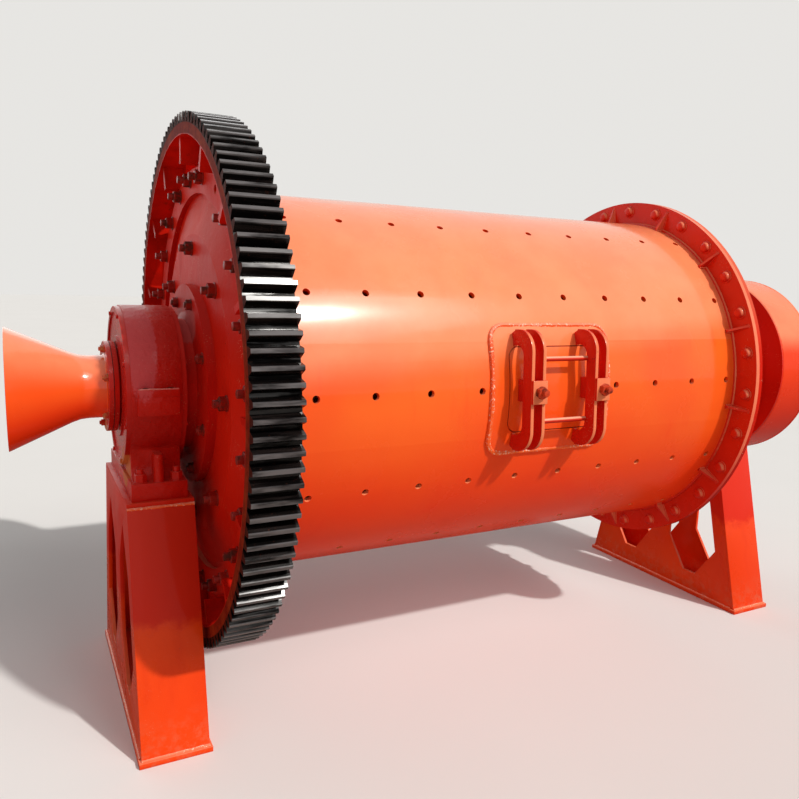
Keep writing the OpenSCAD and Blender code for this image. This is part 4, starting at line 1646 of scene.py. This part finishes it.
@dataclass
class FeedDrum:
    """The drum feeder on the feed trunnion.

    Attributes:
        weld: Weld round each end of the drum.
        weld_in: Depth of a weld's middle below the drum's surface.
        bolt: Bolt that holds the drum to the trunnion.
        circle: The bolts' circle.
    """

    weld: Weld = Weld(width=0.005, ripple=0.2, pitch=0.012)
    weld_in: float = 0.0032
    bolt: HexBolt = HexBolt(0.03, 0.016, washer=0.003, stud=0.008)
    circle: BoltCircle = BoltCircle(0.15, 8, 22.5)

    def build(self) -> None:
        """Dresses the drum and adds its welds and bolts."""
        # Painted sky sheen: the drum is pale on its upper faces.
        enamel = Enamel("feed_drum_enamel", paint(242, 66, 26), paint(206, 34, 12), ORANGE_PAINTED_SHEEN,
                        gloss=0.19, gleam=0.12, wave=0.002, chips=0.1, grime=0.0, painted_sheen_share=0.6,
                        painted_sheen_edge=(0.2, 0.45))
        dress(["feed_drum_shell", "feed_drum_outer_plate"], enamel)
        plate = Enamel("feed_plate_enamel", paint(226, 36, 16), RED_DEEP_AND_SHADE, ORANGE_PAINTED_SHEEN, gloss=0.24,
                       wave=0.0015, chips=0.4, grime=0.0)
        dress(["feed_drum_inner_plate"], plate)
        _, radius = radii("feed_drum_shell")
        welds = Piece("feed_drum_welds", Body.DRUM, Slot.ORANGE)
        for x in span("feed_drum_shell"):
            welds.add(self.weld.ring(x, radius - self.weld_in))
        welds.finish(enamel)
        face = span("feed_drum_inner_plate")[1]
        bolts = Piece("feed_drum_bolts", Body.DRUM, Slot.ORANGE)
        bolts.add(self.bolt.shape(), self.circle.places(face, Way.FEED, 51))
        bolts.finish(Metal("drum_bolt_steel", paint(200, 52, 30), paint(96, 38, 26), 0.5))


@dataclass(frozen=True)
class Lamp:
    """A distant soft lamp.

    Attributes:
        name: Its name.
        azimuth: Where it stands, in degrees from -Y towards +X.
        elevation: Its height above the horizon, in degrees.
        strength: Its strength in watts to the square metre.
        spread: The angle that it fills in the sky, in degrees.
        colour: Its colour.
    """

    name: str
    azimuth: float
    elevation: float
    strength: float
    spread: float
    colour: Colour

    def build(self) -> None:
        """Adds the lamp to the scene."""
        data = bpy.data.lights.new(self.name, "SUN")
        data.energy = self.strength
        data.angle = math.radians(self.spread)
        data.color = self.colour
        turn, rise = math.radians(self.azimuth), math.radians(self.elevation)
        flat = math.cos(rise)
        way = Vector((math.sin(turn) * flat, -math.cos(turn) * flat, math.sin(rise)))
        in_scene(self.name, data).matrix_world = stand(AXIS_Z * 4 * way, way)


@dataclass
class Studio:
    """Floor, sky, lamps and camera.

    Attributes:
        eye: Camera from the gear's discharge face and the mill's axis, in metres.
        yaw: Turn of the view to the right of +Y, in degrees.
        pitch: Tilt of the view above the horizon, in degrees.
        roll: Turn of the picture, in degrees.
        lens: Focal length on the sensor, in millimetres.
        sensor: Width of the sensor, in millimetres.
        clip: Nearest and farthest distance that the camera sees, in metres.
        floor_reach: Radius of the floor.
        sky: Colour of the sky.
        ambient: Strength with which the sky lights.
        backdrop: Strength with which the sky shows.
        lamps: The lamps.
    """

    eye: Triple = (-0.58, -3.046, 0.43)
    yaw: float = 27.465
    pitch: float = -8.992
    roll: float = 1.688
    lens: float = 33.30
    sensor: float = 36.0
    clip: tuple[float, float] = (0.05, 200.0)
    floor_reach: float = 60.0
    sky: Colour = (0.985, 0.97, 0.94)
    ambient: float = 0.23
    backdrop: float = 0.812
    lamps: tuple[Lamp, ...] = (Lamp("key", 27.0, 43.0, 2.35, 1.8, (1.0, 0.965, 0.91)),
                               Lamp("halo", 27.0, 43.0, 0.62, 28.0, (1.0, 0.975, 0.93)),
                               Lamp("fill", -38.0, 14.0, 0.3, 60.0, (1.0, 0.97, 0.94)),
                               Lamp("back", 195.0, 30.0, 0.6, 60.0, (0.98, 0.99, 1.0)))

    def build(self) -> None:
        """Builds the floor, the sky, the lamps and the camera."""
        self._floor()
        self._sky()
        for lamp in self.lamps:
            lamp.build()
        self._camera()

    def _floor(self) -> None:
        """Adds the floor."""
        shape = bmesh.new()
        bmesh.ops.create_circle(shape, cap_ends=True, segments=96, radius=self.floor_reach)
        data = bpy.data.meshes.new("floor")
        shape.to_mesh(data)
        shape.free()
        data.materials.append(StudioFloor().material())
        in_scene("floor", data)

    def _sky(self) -> None:
        """Lights the scene evenly and shows a pale backdrop to the camera and to reflections."""
        world = bpy.data.worlds.new("studio_sky")
        bpy.context.scene.world = world
        world.use_nodes = True
        tree = ShaderTree(world.node_tree)
        lit, shown = (tree.node("ShaderNodeBackground", inputs={"Color": self.sky, "Strength": strength})
                      for strength in (self.ambient, self.backdrop))
        seen = tree.rays("Camera", "Glossy", "Transmission")
        mixed = tree.node("ShaderNodeMixShader", inputs={0: seen, 1: lit.outputs[0], 2: shown.outputs[0]})
        tree.node("ShaderNodeOutputWorld", inputs={"Surface": mixed.outputs[0]})

    def _camera(self) -> None:
        """Adds the camera at the photograph's angle."""
        yaw, pitch, roll = (math.radians(a) for a in (self.yaw, self.pitch, self.roll))
        flat = math.cos(pitch)
        ahead = Vector((math.sin(yaw) * flat, math.cos(yaw) * flat, math.sin(pitch)))
        right = Vector((math.cos(yaw), -math.sin(yaw), 0))
        up = right.cross(ahead)
        right, up = (math.cos(roll) * right + math.sin(roll) * up,
                     math.cos(roll) * up - math.sin(roll) * right)
        data = bpy.data.cameras.new("camera")
        data.lens = self.lens
        data.sensor_width = self.sensor
        data.clip_start, data.clip_end = self.clip
        camera = in_scene("camera", data)
        origin = Vector((span("gear_half_upper")[0], 0, AXIS_Z))
        turn = Matrix((right, up, -ahead)).transposed().to_4x4()
        camera.matrix_world = Matrix.Translation(origin + Vector(self.eye)) @ turn
        bpy.context.scene.camera = camera


def main() -> None:
    """Builds every sub-assembly in order."""
    logging.basicConfig(level=logging.INFO, format="%(message)s")
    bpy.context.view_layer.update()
    Studio().build()
    bearings = [Bearing(end) for end in End]
    pedestals = [Pedestal(end) for end in End]
    for part in (Barrel(), Ends(), GirthGear(), *bearings, *pedestals, Hatch(), DischargeBell(),
                 FeedDrum()):
        part.build()
        LOG.info("built %s", type(part).__name__)
    bpy.context.scene.view_settings.view_transform = "Standard"


if __name__ == "__main__":
    main()
